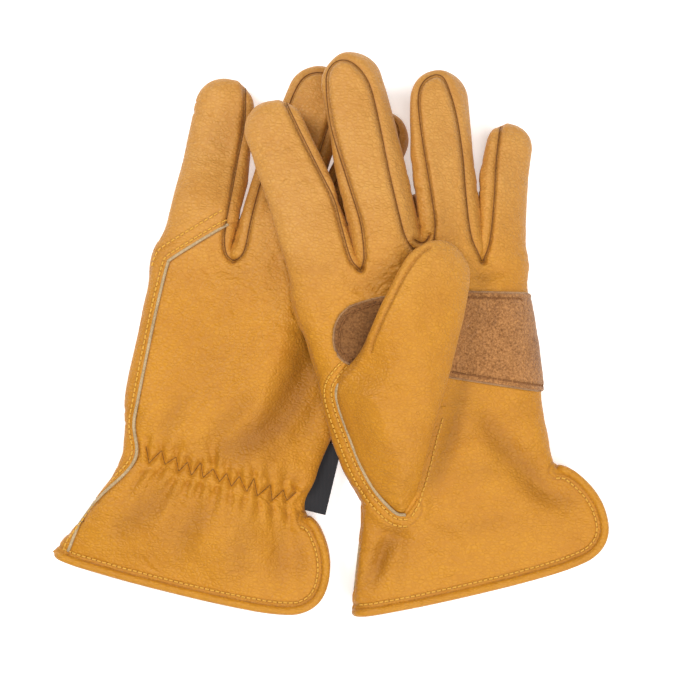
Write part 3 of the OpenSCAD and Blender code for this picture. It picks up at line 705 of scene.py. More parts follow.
def mesh_of(name, verts, tris, normals=None, marks=None):
    """A smooth mesh, with its normals where they are given and its marks as attributes."""
    mesh = bpy.data.meshes.new(name)
    mesh.from_pydata([tuple(v) for v in verts], [], [tuple(int(i) for i in t) for t in tris])
    mesh.shade_smooth()
    for key, values in (marks or {}).items():
        layer = mesh.attributes.new(key, "FLOAT", "POINT")
        layer.data.foreach_set("value", np.asarray(values, np.float32))
    if normals is not None:
        mesh.normals_split_custom_set_from_vertices([tuple(n) for n in normals])
    return mesh


def leather_piece(name, glove, data, tris, finish, out=None, turned=False):
    """An object from rows of x, y, w, normal and crease, the crease being the amount of painted shade.
    The distance out moves it off the skin, and a turned one faces inwards."""
    flat = data[:, :3].copy()
    if out is not None:
        local = normals_of(flat, tris)
        flat += local * np.asarray(out)[:, None] if np.ndim(out) else local * out
    order = tris if (UP[glove] > 0) != turned else tris[:, ::-1]
    normals = None if out is not None else data[:, 3:6]
    tone = ease(70, 150, data[:, 1])
    mesh = mesh_of(name, lay(glove, flat), order, normals, {"crease": data[:, 6], "tone": tone})
    return new_object(name, mesh, finish)


def tube_mesh(points, radius, sides, closed=False):
    """Vertices and faces of a round bead along points in the row frame."""
    p = np.asarray(points)
    n = len(p)
    if closed:
        tangent = np.roll(p, -1, axis=0) - np.roll(p, 1, axis=0)
    else:
        tangent = np.gradient(p, axis=0)
    tangent /= np.linalg.norm(tangent, axis=1)[:, None]
    up = np.tile([0.0, 0.0, 1.0], (n, 1))
    a = np.cross(tangent, up)
    a /= np.maximum(np.linalg.norm(a, axis=1), 1e-9)[:, None]
    b = np.cross(a, tangent)
    turn = np.linspace(0, 2 * np.pi, sides, endpoint=False)
    ring = p[:, None, :] + radius * (a[:, None] * np.cos(turn)[None, :, None]
                                     + b[:, None] * np.sin(turn)[None, :, None])
    verts = ring.reshape(-1, 3)
    faces = []
    for i in range(n if closed else n - 1):
        j = (i + 1) % n
        for s in range(sides):
            e = (s + 1) % sides
            a, b, c, d = i * sides + s, i * sides + e, j * sides + e, j * sides + s
            faces += [(a, b, c), (a, c, d)]
    if not closed:
        for i, order in ((0, 1), (n - 1, -1)):
            cap = [i * sides + s for s in range(sides)][::-order]
            faces += [(cap[0], cap[k], cap[k + 1]) for k in range(1, sides - 1)]
    return verts, np.array(faces)


def bead(name, glove, points, radius, finish, sides=6):
    """An object of a round bead along points of a glove's own frame; its radius is in millimetres."""
    verts, faces = tube_mesh(lay(glove, points), radius * MM, sides)
    return new_object(name, mesh_of(name, verts, faces), finish)


# ---- Materials
def linear(hex_colour):
    """An sRGB colour such as #c6871d, as the linear colour that a shader takes."""
    c = [int(hex_colour[i:i + 2], 16) / 255 for i in (1, 3, 5)]
    return tuple(v / 12.92 if v <= 0.04045 else ((v + 0.055) / 1.055) ** 2.4 for v in c) + (1.0,)


def wire(tree, n, settings, links):
    """Sets a node's sockets and properties, and links what is given as (node, output)."""
    for key, value in settings.items():
        if isinstance(key, int) or key in n.inputs:
            n.inputs[key].default_value = value
        else:
            setattr(n, key, value)
    for key, (source, output) in links.items():
        tree.links.new(source.outputs[output], n.inputs[key])
    return n


def node(tree, kind, settings=None, links=None):
    """Adds a node with its settings and links."""
    return wire(tree, tree.nodes.new(kind), settings or {}, links or {})


def new_material(name):
    """A material, its node tree and its shader."""
    m = bpy.data.materials.new(name)
    m.use_nodes = True
    return m, m.node_tree, m.node_tree.nodes["Principled BSDF"]


def in_millimetres(tree, scale=(1000, 1000, 1000)):
    """The place on the object in millimetres, so that a texture's Scale is one over its real size."""
    where = node(tree, "ShaderNodeTexCoord")
    return node(tree, "ShaderNodeMapping", {"Scale": scale}, {"Vector": (where, "Object")})


def grain_leather(name, body, shade, pale, grain_mm=1.5):
    """Full-grain cowhide: soft sheen, a fine pebble, painted shade in its creases, folds and seams, paler
    where handled.
    The real pebble is about 0.8 mm, and is drawn coarser so that it shows."""
    m, t, bsdf = new_material(name)
    at = in_millimetres(t)
    # The grain cells are a little wider than they are long, as hide stretched over a hand.
    stretched = in_millimetres(t, (700, 1000, 800))
    tone = node(t, "ShaderNodeAttribute", {"attribute_name": "tone"})
    crease = node(t, "ShaderNodeAttribute", {"attribute_name": "crease"})
    mottle = node(t, "ShaderNodeTexNoise", {"Scale": 1 / 24, "Detail": 4.0}, {"Vector": (at, "Vector")})
    fine = node(t, "ShaderNodeTexNoise", {"Scale": 1 / 3.2, "Detail": 3.0}, {"Vector": (at, "Vector")})
    pebble = node(t, "ShaderNodeTexVoronoi", {"Scale": 1 / grain_mm, "feature": "DISTANCE_TO_EDGE"},
                  {"Vector": (stretched, "Vector")})
    colour = node(t, "ShaderNodeMix", {"data_type": "RGBA", "A": linear(body), "B": linear(pale)},
                  {"Factor": (tone, "Fac")})
    # Over the body colour: clouds of dye, fine specks, the valleys of the grain, then painted shade in the
    # creases.
    layers = [
        ({"From Min": 0.35, "From Max": 0.7, "To Min": 0.0, "To Max": 0.28}, (mottle, "Fac"), shade),
        ({"From Min": 0.3, "From Max": 0.75, "To Min": 0.0, "To Max": 0.22}, (fine, "Fac"), shade),
        ({"From Max": 0.22, "To Min": 0.26, "To Max": 0.0}, (pebble, "Distance"), shade),
        # Painted shade: the crease attribute darkens seam grooves, fold valleys and stitch rows.
        ({"To Max": 0.8}, (crease, "Fac"), "#6c3a08"),
    ]
    for limits, source, over in layers:
        amount = node(t, "ShaderNodeMapRange", limits, {"Value": source})
        colour = node(t, "ShaderNodeMix", {"data_type": "RGBA", "B": linear(over)},
                      {"Factor": (amount, "Result"), "A": (colour, "Result")})
    furrow = node(t, "ShaderNodeMapRange", {"From Max": 0.34}, {"Value": (pebble, "Distance")})
    soft = node(t, "ShaderNodeTexNoise", {"Scale": 1 / 5.5, "Detail": 2.5, "Roughness": 0.5},
                {"Vector": (stretched, "Vector")})
    bump_soft = node(t, "ShaderNodeBump", {"Strength": 0.85, "Distance": 0.0013}, {"Height": (soft, "Fac")})
    bump = node(t, "ShaderNodeBump", {"Strength": 0.8, "Distance": 0.00024},
                {"Height": (furrow, "Result"), "Normal": (bump_soft, "Normal")})
    wire(t, bsdf,
         {"Roughness": 0.52, "Specular IOR Level": 0.32, "Sheen Weight": 0.06, "Sheen Roughness": 0.4},
         {"Base Color": (colour, "Result"), "Normal": (bump, "Normal")})
    return m


def rough_leather(name, light, dark, nap_mm=0.9, contrast=0.9, clouds=0.38):
    """A split or raw edge: matt, fibrous and uneven, with the nap lying in patches. The real nap is
    about 0.3 mm, and is drawn coarser so that it shows."""
    m, t, bsdf = new_material(name)
    at = in_millimetres(t)
    nap = node(t, "ShaderNodeTexNoise", {"Scale": 1 / nap_mm, "Detail": 6.0, "Roughness": 0.75},
               {"Vector": (at, "Vector")})
    patchy = node(t, "ShaderNodeTexNoise", {"Scale": 1 / 11, "Detail": 3.0}, {"Vector": (at, "Vector")})
    share = node(t, "ShaderNodeMath", {"operation": "MULTIPLY", 1: clouds}, {0: (patchy, "Fac")})
    both = node(t, "ShaderNodeMath", {"operation": "MULTIPLY_ADD", 1: 1 - clouds},
                {0: (nap, "Fac"), 2: (share, 0)})
    spread = node(t, "ShaderNodeMapRange", {"From Min": 0.36, "From Max": 0.64, "To Max": contrast},
                  {"Value": (both, 0)})
    mixed = node(t, "ShaderNodeMix", {"data_type": "RGBA", "A": linear(light), "B": linear(dark)},
                 {"Factor": (spread, "Result")})
    # Darker where the crease mark says: painted shade in creases and along stitch rows, and on the suede
    # beside the thumb partly nap rubbed the other way and partly the painted shadow of the thumb.
    nap_and_shade = node(t, "ShaderNodeAttribute", {"attribute_name": "crease"})
    colour = node(t, "ShaderNodeMix", {"data_type": "RGBA", "B": linear("#4c2a0c")},
                  {"Factor": (nap_and_shade, "Fac"), "A": (mixed, "Result")})
    bump = node(t, "ShaderNodeBump", {"Strength": 0.9, "Distance": 0.0006}, {"Height": (nap, "Fac")})
    wire(t, bsdf, {"Roughness": 0.95, "Specular IOR Level": 0.15, "Sheen Weight": 0.3},
         {"Base Color": (colour, "Result"), "Normal": (bump, "Normal")})
    return m


def woven_cloth(name, light, dark, thread_mm=0.6):
    """Thread, ribbon or tape: fine crossing threads, matt."""
    m, t, bsdf = new_material(name)
    at = in_millimetres(t)
    weave = node(t, "ShaderNodeTexWave", {"Scale": 0.31 / thread_mm, "Distortion": 0.4},
                 {"Vector": (at, "Vector")})
    colour = node(t, "ShaderNodeMix", {"data_type": "RGBA", "A": linear(dark), "B": linear(light)},
                  {"Factor": (weave, "Fac")})
    bump = node(t, "ShaderNodeBump", {"Strength": 0.4, "Distance": 0.0002}, {"Height": (weave, "Fac")})
    wire(t, bsdf, {"Roughness": 0.85}, {"Base Color": (colour, "Result"), "Normal": (bump, "Normal")})
    return m


# What the operators make for those after them: the materials, and the two gloves' skins.
MATERIALS = {}
GLOVE = {}


# ---- Settings
class GloveSettings(bpy.types.PropertyGroup):
    mesh_step: bpy.props.FloatProperty(
        name="Skin step", description="Spacing of the skin's vertices", default=0.5, min=0.4, max=2.0)
    hide_colour: bpy.props.StringProperty(
        name="Leather", description="Colour of the palm and cuff", default="#c6871d")
    shade_colour: bpy.props.StringProperty(
        name="Leather, dark", description="Darker clouds in the leather", default="#a06014")
    pale_colour: bpy.props.StringProperty(
        name="Leather, pale", description="Colour of the fingers", default="#cb9447")
    suede_colour: bpy.props.StringProperty(
        name="Suede", description="Colour of the palm strap", default="#c48a50")
    hem_radius: bpy.props.FloatProperty(
        name="Hem radius", description="Radius of the rolled hem, in millimetres", default=1.9, min=1, max=3)


class StitchSettings(bpy.types.PropertyGroup):
    pitch: bpy.props.FloatProperty(
        name="Stitch pitch", description="Spacing of the stitches", default=0.0024, unit="LENGTH")
    length: bpy.props.FloatProperty(
        name="Stitch length", description="Visible length of a stitch", default=0.0017, unit="LENGTH")
    radius: bpy.props.FloatProperty(
        name="Thread radius", description="Radius of the sewing thread", default=0.00037, unit="LENGTH")


def settings():
    """The sizes and colours of the gloves, as set in the sidebar."""
    return bpy.context.scene.glove_settings


# ---- Splitting the skin into the cut pieces of leather
def finger_at(glove, x, y):
    """Number of the finger that a place belongs to."""
    return np.argmax([finger_distance(x, y, c) for c in FINGERS[glove].values()], axis=0)


def past_crease(glove, x, y):
    """How far beyond its finger's bending crease a place is."""
    crease = np.array(list(CREASE_Y.values()), float)
    return y - crease[finger_at(glove, x, y)]


def centre_offset(chain, x, y):
    """Signed distance across a finger from its middle line, positive towards the little finger."""
    d, side, _ = line_distance(x, y, [(p[0], p[1]) for p in chain])
    return -d * side


def place_finger(obj, glove, finger):
    """A right-hand glove's finger is attached to that glove; a left-hand one's is left where it lies, its
    place baked into its mesh.
    """
    if glove == "right":
        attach(obj, "right_glove")
        return
    chain = FINGERS[glove][finger]
    y0 = CREASE_Y[finger]
    x0 = np.interp(y0, [p[1] for p in chain], [p[0] for p in chain])
    tip = np.array(chain[-1][:2])
    way = (tip - [x0, y0]) / np.linalg.norm(tip - [x0, y0])
    start, end = (lay(glove, [[x0 + way[0] * by, y0 + way[1] * by, 8]])[0] for by in BENDS[finger])
    start[2] = end[2]
    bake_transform(obj)


def place_thumb(obj, glove):
    """A thumb is left where it lies, its place baked into its mesh."""
    places = {"left": ((-30, -3, 12), (-14, 44, 12)), "right": ((-28, 2, 12), (-24, 26, 12))}
    start, end = (lay(glove, [p])[0] for p in places[glove])
    end[2] = start[2]
    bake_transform(obj)


def cut_to_hem(data, tris):
    """Opens the mouth of the cuff and the slit at its side."""
    round_the_hand = [(46.4, 1.6), (46.8, 8), (49, 20), (110, 24), (110, 240), (-110, 240), (-110, -36)]
    kept = np.vstack([along(HEM), round_the_hand])
    s = inside_distance(data[:, 0], data[:, 1], kept)
    return trim(data, tris, s)


def split_skin(glove):
    """Faces of the skin for each cut piece, keyed by the piece's name."""
    g = GLOVE[glove]
    data, tris = cut_to_hem(g.data(), g.tris)
    beyond = past_crease(glove, data[:, 0], data[:, 1])
    hand, hand_tris = trim(data, tris, -beyond)
    digits, digit_tris = trim(data, tris, beyond)
    parts = {}
    c = hand[hand_tris].mean(1)
    x, y, w = c[:, 0], c[:, 1], c[:, 2]
    d, side, _ = line_distance(x, y, along(LAP[glove], step=2.0))
    wrapped = (w < 0) & (side < 0) & (x < 0)
    kind = np.where((w > 0) | wrapped, 0, 1)
    for k, (cx, cy) in enumerate(CROTCHES[glove]):
        near = (np.hypot(x - cx, (y - cy - 2) * 0.8) < 5.0) & (np.abs(w) < 4.6)
        kind = np.where(near, 2 + k, kind)
    names = ["palm", "back", "quirk_index_middle", "quirk_middle_ring", "quirk_ring_little"]
    for k, name in enumerate(names):
        parts[name] = (hand, hand_tris[kind == k])
    c = digits[digit_tris].mean(1)
    x, y, w = c[:, 0], c[:, 1], c[:, 2]
    which = finger_at(glove, x, y)
    for k, (finger, chain) in enumerate(FINGERS[glove].items()):
        mine = which == k
        u = centre_offset(chain, x, y)
        r = np.interp(y, [p[1] for p in chain], [p[2] for p in chain])
        tip = y > chain[-1][1] + 4
        edge = r - 5.0
        if finger == "index":
            inner = (u > edge) & ~tip
            parts["index_wrap"] = (digits, digit_tris[mine & ~inner])
            parts["index_fourchette"] = (digits, digit_tris[mine & inner])
        elif finger == "little":
            inner = (u < -edge) & ~tip
            parts["little_front"] = (digits, digit_tris[mine & ~inner & (w > 0)])
            parts["little_back"] = (digits, digit_tris[mine & ~inner & (w <= 0)])
            parts["little_fourchette"] = (digits, digit_tris[mine & inner])
        else:
            thumb_side = (u < -edge) & ~tip
            far_side = (u > edge) & ~tip
            middle = ~thumb_side & ~far_side
            front = middle & (w > 0) & ~tip
            parts[finger + "_front"] = (digits, digit_tris[mine & front])
            parts[finger + "_back"] = (digits, digit_tris[mine & middle & ~front])
            parts[finger + "_fourchette_inner"] = (digits, digit_tris[mine & thumb_side])
            parts[finger + "_fourchette_outer"] = (digits, digit_tris[mine & far_side])
    return parts


# ---- Operators
class GLOVES_OT_leathers(bpy.types.Operator):
    """Mixes the leathers, the suede, the thread and the cloths"""
    bl_idname = "gloves.leathers"
    bl_label = "Leathers and threads"

    def execute(self, context):
        s = settings()
        # Soft matt gold with a fine pebble, and painted shade in its creases: the hide of the whole glove.
        MATERIALS["grain"] = grain_leather(
            "full-grain cowhide, tan", s.hide_colour, s.shade_colour, s.pale_colour)
        # The same hide drawn tight over the hem, so more even in colour.
        MATERIALS["rolled"] = grain_leather(
            "full-grain cowhide, rolled hem", "#c6881f", "#a36514", "#c6881f")
        # Dull brown, speckled light and dark by its brushed nap.
        MATERIALS["suede"] = rough_leather(
            "split cowhide suede, brown", s.suede_colour, "#6b3f1a", 1.0, 1.0, 0.16)
        # A thin pale grey line where the dye has not soaked into the cut hide.
        MATERIALS["raw"] = rough_leather("raw cut edge of the hide", "#d0b68c", "#8f754f", 0.9, 0.9)
        # A light fuzzy rim that sets the strap off from the palm.
        MATERIALS["suede edge"] = rough_leather("raw cut edge of the suede", "#b48a5c", "#7c5026", 0.9, 0.8)
        # Pale, dry and fibrous, as seen inside the open cuffs.
        MATERIALS["flesh"] = rough_leather("flesh side of the hide", "#d2ad74", "#b08a54", 0.8, 0.6)
        # Bright little dashes, lighter than the leather.
        MATERIALS["thread"] = woven_cloth("waxed polyester thread, gold", "#ecb84c", "#bc8424", 0.3)
        # Dashes that all but vanish in the suede.
        MATERIALS["brown thread"] = woven_cloth("waxed polyester thread, brown", "#94602e", "#6e421c", 0.3)
        # A fine dark line at the bottom of each groove: the sewing line, drawn dark as painted shade of the
        # groove.
        MATERIALS["seam"] = woven_cloth("sewing line in a turned seam, brown", "#84531b", "#603810", 0.3)
        # Off-white with soft ribs, hardly seen inside the cuff.
        MATERIALS["tape"] = woven_cloth("knitted elastic tape", "#ece6da", "#cfc7b8", 0.8)
        # Near black, with fine ribs that catch a little light.
        MATERIALS["ribbon"] = woven_cloth("woven satin ribbon, black", "#26262a", "#141416", 0.6)
        return {"FINISHED"}


class GLOVES_OT_hands(bpy.types.Operator):
    """Shapes each glove's skin and cuts it into its pieces of leather"""
    bl_idname = "gloves.hands"
    bl_label = "Hands and fingers"

    def execute(self, context):
        for glove in BOTH:
            GLOVE[glove] = Glove(glove, settings().mesh_step)
            for part, (data, tris) in split_skin(glove).items():
                if not len(tris):
                    raise RuntimeError(f"{glove} {part} came out empty")
                data, tris = compact(data, tris)
                obj = leather_piece(f"{glove}_{part}_leather", glove, data, tris, MATERIALS["grain"])
                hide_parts(f"{glove}_{part}")
                finger = part.split("_")[0]
                if finger in FINGERS[glove]:
                    place_finger(obj, glove, finger)
                else:
                    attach(obj, glove + "_glove")
        return {"FINISHED"}


class GLOVES_OT_linings(bpy.types.Operator):
    """Adds the flesh side of the leather inside the cuffs, and the elastic tape"""
    bl_idname = "gloves.linings"
    bl_label = "Insides and elastic"

    def execute(self, context):
        for glove in BOTH:
            g = GLOVE[glove]
            data, tris = cut_to_hem(g.data(), g.tris)
            # Nothing further in than this can be seen through the cuff.
            seen_to = 50
            data, tris = trim(data, tris, seen_to - data[:, 1])
            obj = leather_piece(glove + "_inside", glove, data, tris, MATERIALS["flesh"], -LEATHER_T, True)
            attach(obj, glove + "_glove")
            x, y, w = data[:, 0], data[:, 1], data[:, 2]
            band = np.minimum(ELASTIC_HALF - np.abs(y - elastic_y(x)), ELASTIC_REACH - np.abs(x - 3))
            on_the_back = -1 - w
            tape, tape_tris = trim(data, tris, np.minimum(band, on_the_back))
            obj = leather_piece(glove + "_elastic_tape", glove, tape, tape_tris, MATERIALS["tape"],
                                -LEATHER_T - 0.8, True)
            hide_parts(glove + "_wrist_elastic")
            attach(obj, glove + "_glove")
        return {"FINISHED"}


class GLOVES_OT_straps(bpy.types.Operator):
    """Sews the suede strap across each palm"""
    bl_idname = "gloves.straps"
    bl_label = "Palm straps"

    def execute(self, context):
        for glove in BOTH:
            g = GLOVE[glove]
            outline = round_outline(PATCH, 1.5)
            d = inside_distance(g.verts[:, 0], g.verts[:, 1], outline)
            on_the_palm = g.verts[:, 2] - 0.6
            data, tris = trim(g.data(), g.tris, np.minimum(d, on_the_palm))
            x, y = data[:, 0], data[:, 1]
            edge = inside_distance(x, y, outline)
            sewn = bell(edge, 0.8, STRAP_ROW)
            # One hide thick with a rounded edge, a rough nap, and drawn down along its stitches.
            nap = 0.10 * value_noise(x, y, 1.6, 21)
            rise = 0.35 + 0.95 * np.sqrt(np.clip(edge, 0, 1)) + nap - 0.3 * sewn
            # The suede is darker beside the thumb, partly its nap rubbed the other way and partly the
            # painted shadow of the thumb, with painted shade along its stitch row.
            data[:, 6] = 0.5 * (1 - ease(-22, -4, x)) + 0.12 * sewn
            obj = leather_piece(glove + "_palm_patch_suede", glove, data, tris, MATERIALS["suede"], rise)
            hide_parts(glove + "_palm_patch")
            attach(obj, glove + "_glove")
            ring = g.drape(outline[outline[:, 0] < 53], 1, 0.75)
            rim = bead(glove + "_palm_patch_edge", glove, ring, 0.4, MATERIALS["suede edge"], 8)
            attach(rim, glove + "_glove")
        return {"FINISHED"}


def thumb_relief(glove, verts):
    """How far a thumb's leather stands out, how much painted shade its seams get, and how high its middle
    lies.
    """
    x, y, w = verts.T
    out = 0.22 * value_noise(x, y, 13, 31) + 0.1 * value_noise(x, y, 5, 32)
    if glove == "right":
        pressed_base = 15.0
        return out, np.zeros(len(verts)), np.full(len(verts), pressed_base)
    # The thumb rises away from the seam where it is let in, quickly at first and then slowly.
    d, _, _ = line_distance(x, y, along(THUMB_SEAM, step=2.0))
    tip = ease(56, 80, y)
    from_seam = (0.35 * np.clip(d / 17, 0, 1) + 0.65 * ease(1, 17, d)) * (1 - tip) + tip
    base = 4.4 + 12.8 * from_seam * (0.3 + 0.7 * ease(-10, 40, y))
    folds = (
        ([(-30, 58), (-18, 50), (-6, 44)], 0.6, 4.0),
        ([(-34, 30), (-26, 24), (-16, 24)], 0.5, 3.6),
        ([(-38, 44), (-28, 46), (-16, 40)], -0.5, 5.0),
    )
    for line, depth, width in folds:
        out += fold(x, y, line, depth, width)
    # Painted shade along the seam where the thumb is let in, and along its turned inner edge.
    crease = 0.5 * bell(d, 1.6) * (w > -3)
    d, _, _ = line_distance(x, y, along(THUMB_EDGE_SEAM, step=2.0))
    out -= 1.1 * bell(d, 0.9) * (w > 0)
    return out, np.maximum(crease, 0.35 * bell(d, 0.7) * (w > 0)), base


class GLOVES_OT_thumbs(bpy.types.Operator):
    """Shapes the thumbs, which are let into the palms and folded over them"""
    bl_idname = "gloves.thumbs"
    bl_label = "Thumbs"

    def execute(self, context):
        for glove in BOTH:
            outline = round_outline(THUMB_OUT[glove], 1.5)

            def plan(x, y, outline=outline):
                return inside_distance(x, y, outline)

            def thick(x, y, half=THUMB_HALF[glove]):
                return half * (0.82 + 0.18 * ease(-5, 40, y)) * (1 - 0.10 * ease(80, 115, y)) + 0 * x

            verts, tris = skin(plan, thick, (-52, -12), (34, 122), settings().mesh_step, 2.2, 13.5)
            out, crease, base = thumb_relief(glove, verts)
            verts = verts + normals_of(verts, tris) * out[:, None]
            verts[:, 2] += base
            order = tris if UP[glove] > 0 else tris[:, ::-1]
            data = np.hstack([verts, normals_of(lay(glove, verts), order), crease[:, None]])
            upper = data[tris].mean(1)[:, 2] > base[tris].mean(1)
            for part, mask in (("thumb_front", upper), ("thumb_back", ~upper)):
                piece, faces = compact(data, tris[mask])
                obj = leather_piece(f"{glove}_{part}_leather", glove, piece, faces, MATERIALS["grain"])
                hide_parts(f"{glove}_{part}")
                place_thumb(obj, glove)
        return {"FINISHED"}


def binding_path(glove):
    """The hem's path: one sheet from the slit to the thumb side, then back along the other."""
    g = GLOVE[glove]
    line = along(HEM, step=1.5)
    x, y = line.T
    in_the_slit = (y > -3) & (x < 46)
    line = line[(inside_distance(x, y, g.outline) > 0.35) & (x < 61) & (x > -61.5) & ~in_the_slit]
    palm, back = g.drape(line, 1), g.drape(line, -1)
    path = np.vstack([palm[::-1], back])
    keep = np.r_[True, np.linalg.norm(np.diff(path, axis=0), axis=1) > 0.3]
    path = path[keep]
    for _ in range(3):
        path[1:-1] = 0.5 * path[1:-1] + 0.25 * (path[:-2] + path[2:])
    return path


class GLOVES_OT_hems(bpy.types.Operator):
    """Rolls the hem round each cuff and up both edges of its slit"""
    bl_idname = "gloves.hems"
    bl_label = "Rolled hems"

    def execute(self, context):
        for glove in BOTH:
            path = lay(glove, binding_path(glove))
            verts, faces = tube_mesh(path, settings().hem_radius * MM, 14, closed=True)
            marks = {"crease": np.zeros(len(verts)), "tone": np.zeros(len(verts))}
            mesh = mesh_of("hem", verts, faces, None, marks)
            obj = new_object(glove + "_cuff_binding_leather", mesh, MATERIALS["rolled"])
            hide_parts(glove + "_cuff_binding")
            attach(obj, glove + "_glove")
        return {"FINISHED"}


class GLOVES_OT_edges(bpy.types.Operator):
    """Shows the pale cut edges of the leather along the lapped seams"""
    bl_idname = "gloves.edges"
    bl_label = "Raw edges"

    def execute(self, context):
        # Each edge's glove, its line, its side of the glove, and how far it stands above the skin.
        rows = [
            ("right", LAP["right"][1:], -1, 0), ("left", LAP["left"][1:], -1, 0),
            ("left", THUMB_SEAM[:-1], 1, 0.55),
        ]
        for k, (glove, line, side, above) in enumerate(rows):
            line = along(line)
            points = GLOVE[glove].drape(line[line[:, 1] > -41], side, 0.1)
            points[:, 2] += above
            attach(bead(f"{glove}_raw_edge_{k}", glove, points, 0.7, MATERIALS["raw"], 8), glove + "_glove")
        return {"FINISHED"}


def stitch_tree():
    """Stitches along curves: short round dashes of thread at an even pitch."""
    tree = bpy.data.node_groups.new("stitch row", "GeometryNodeTree")
    face = tree.interface
    face.new_socket("Geometry", in_out="INPUT", socket_type="NodeSocketGeometry")
    for name in ("Pitch", "Length", "Radius"):
        face.new_socket(name, in_out="INPUT", socket_type="NodeSocketFloat")
    face.new_socket("Material", in_out="INPUT", socket_type="NodeSocketMaterial")
    face.new_socket("Geometry", in_out="OUTPUT", socket_type="NodeSocketGeometry")
    given = node(tree, "NodeGroupInput")
    points = node(tree, "GeometryNodeCurveToPoints", {"mode": "LENGTH"},
                  {"Curve": (given, "Geometry"), "Length": (given, "Pitch")})
    dash = node(tree, "GeometryNodeMeshCylinder", {"Vertices": 6, "Side Segments": 1},
                {"Radius": (given, "Radius"), "Depth": (given, "Length")})
    placed = node(tree, "GeometryNodeInstanceOnPoints", {}, {
        "Points": (points, "Points"), "Instance": (dash, "Mesh"), "Rotation": (points, "Rotation")})
    real = node(tree, "GeometryNodeRealizeInstances", {}, {"Geometry": (placed, "Instances")})
    coloured = node(tree, "GeometryNodeSetMaterial", {},
                    {"Geometry": (real, "Geometry"), "Material": (given, "Material")})
    node(tree, "NodeGroupOutput", {}, {"Geometry": (coloured, "Geometry")})
    return tree


def curve_object(name, lines):
    """A curve of straight runs through the points of each line."""
    curve = bpy.data.curves.new(name, "CURVE")
    curve.dimensions = "3D"
    for points in lines:
        spline = curve.splines.new("POLY")
        spline.points.add(len(points) - 1)
        spline.points.foreach_set("co", np.hstack([points, np.ones((len(points), 1))]).ravel())
    return new_object(name, curve)


def sew(name, lines, tree, thread):
    """A plain mesh of the stitches along the given lines."""
    s = bpy.context.scene.stitch_settings
    obj = curve_object(name + "_path", lines)
    mod = obj.modifiers.new("stitches", "NODES")
    mod.node_group = tree
    values = {"Pitch": s.pitch, "Length": s.length, "Radius": s.radius, "Material": MATERIALS[thread]}
    for item in tree.interface.items_tree:
        if item.in_out == "INPUT" and item.name in values:
            mod[item.identifier] = values[item.name]
    bpy.context.view_layer.update()
    graph = bpy.context.evaluated_depsgraph_get()
    mesh = bpy.data.meshes.new_from_object(obj.evaluated_get(graph))
    mesh.name = name
    bpy.data.objects.remove(obj)
    return new_object(name, mesh)


def offset_line(line, by):
    """A line moved sideways, to the left of its way."""
    p = along(line)
    way = np.gradient(p, axis=0)
    way /= np.linalg.norm(way, axis=1)[:, None]
    return p + np.stack([-way[:, 1], way[:, 0]], 1) * by


class GLOVES_OT_stitches(bpy.types.Operator):
    """Sews the visible rows of stitches"""
    bl_idname = "gloves.stitches"
    bl_label = "Stitches"

    def execute(self, context):
        tree = stitch_tree()
        for glove in BOTH:
            g = GLOVE[glove]

            def on_glove(line, least):
                """The part of a line that is at least so far in from the glove's outline."""
                return line[g.plan(line[:, 0], line[:, 1]) > least]

            rows = []
            for by in LAP_ROWS:
                line = on_glove(offset_line(along(LAP[glove][1:]), -by), 1.0)
                rows.append((line[line[:, 1] > -40], -1))
            hem = on_glove(offset_line(HEM, HEM_ROW), 3.0)
            hem = hem[hem[:, 1] < -4]
            rows += [(hem, 1), (hem, -1)]
            if glove == "left":
                rows += [(on_glove(offset_line(THUMB_SEAM[:-1], -by), 1.0), 1) for by in THUMB_ROWS]
                heel = [(-24, -4), (-20.6, 0), (-13, 13), (-7, 25), (-2, 34)]
                rows.append((offset_line(heel, -1.5), 1))
            lines = [lay(glove, g.drape(line, side, 0.3)) for line, side in rows]
            strap = round_outline(PATCH, 1.0)
            inner = offset_line(strap, STRAP_ROW)
            strap_row = lay(glove, g.drape(inner[inner[:, 0] < 47], 1, 1.2))
            # The elastic's zigzag thread as a thin dark brown bead, drawn dark as painted shade of the
            # crease it sinks into.
            zigzag = g.drape(along_corners(zigzag_line()[0], 0.5), -1, 0.05)
            for obj in (
                    sew(glove + "_strap_stitches", [strap_row], tree, "brown thread"),
                    sew(glove + "_stitches", lines, tree, "thread"),
                    bead(glove + "_elastic_stitching_and_shade", glove, zigzag, 0.15, MATERIALS["seam"])):
                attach(obj, glove + "_glove")
        return {"FINISHED"}


class GLOVES_OT_seams(bpy.types.Operator):
    """Closes the turned seams of the fingers with their sewing line deep in the groove, drawn dark brown as
    the thread and the painted shade of the groove
    """
    bl_idname = "gloves.seams"
    bl_label = "Finger seams"

    def execute(self, context):
        for glove in BOTH:
            g = GLOVE[glove]
            for side, seams in ((1, PALM_SEAMS[glove]), (-1, BACK_SEAMS[glove])):
                for k, line in enumerate(seams):
                    points = g.drape(along(line, step=0.7), side, 0.02)
                    name = f"{glove}_seam_{'palm' if side > 0 else 'back'}_{k}"
                    obj = bead(name, glove, points, 0.24, MATERIALS["seam"])
                    middle = points[len(points) // 2]
                    finger = list(FINGERS[glove])[int(finger_at(glove, middle[0], middle[1]))]
                    place_finger(obj, glove, finger)
        return {"FINISHED"}


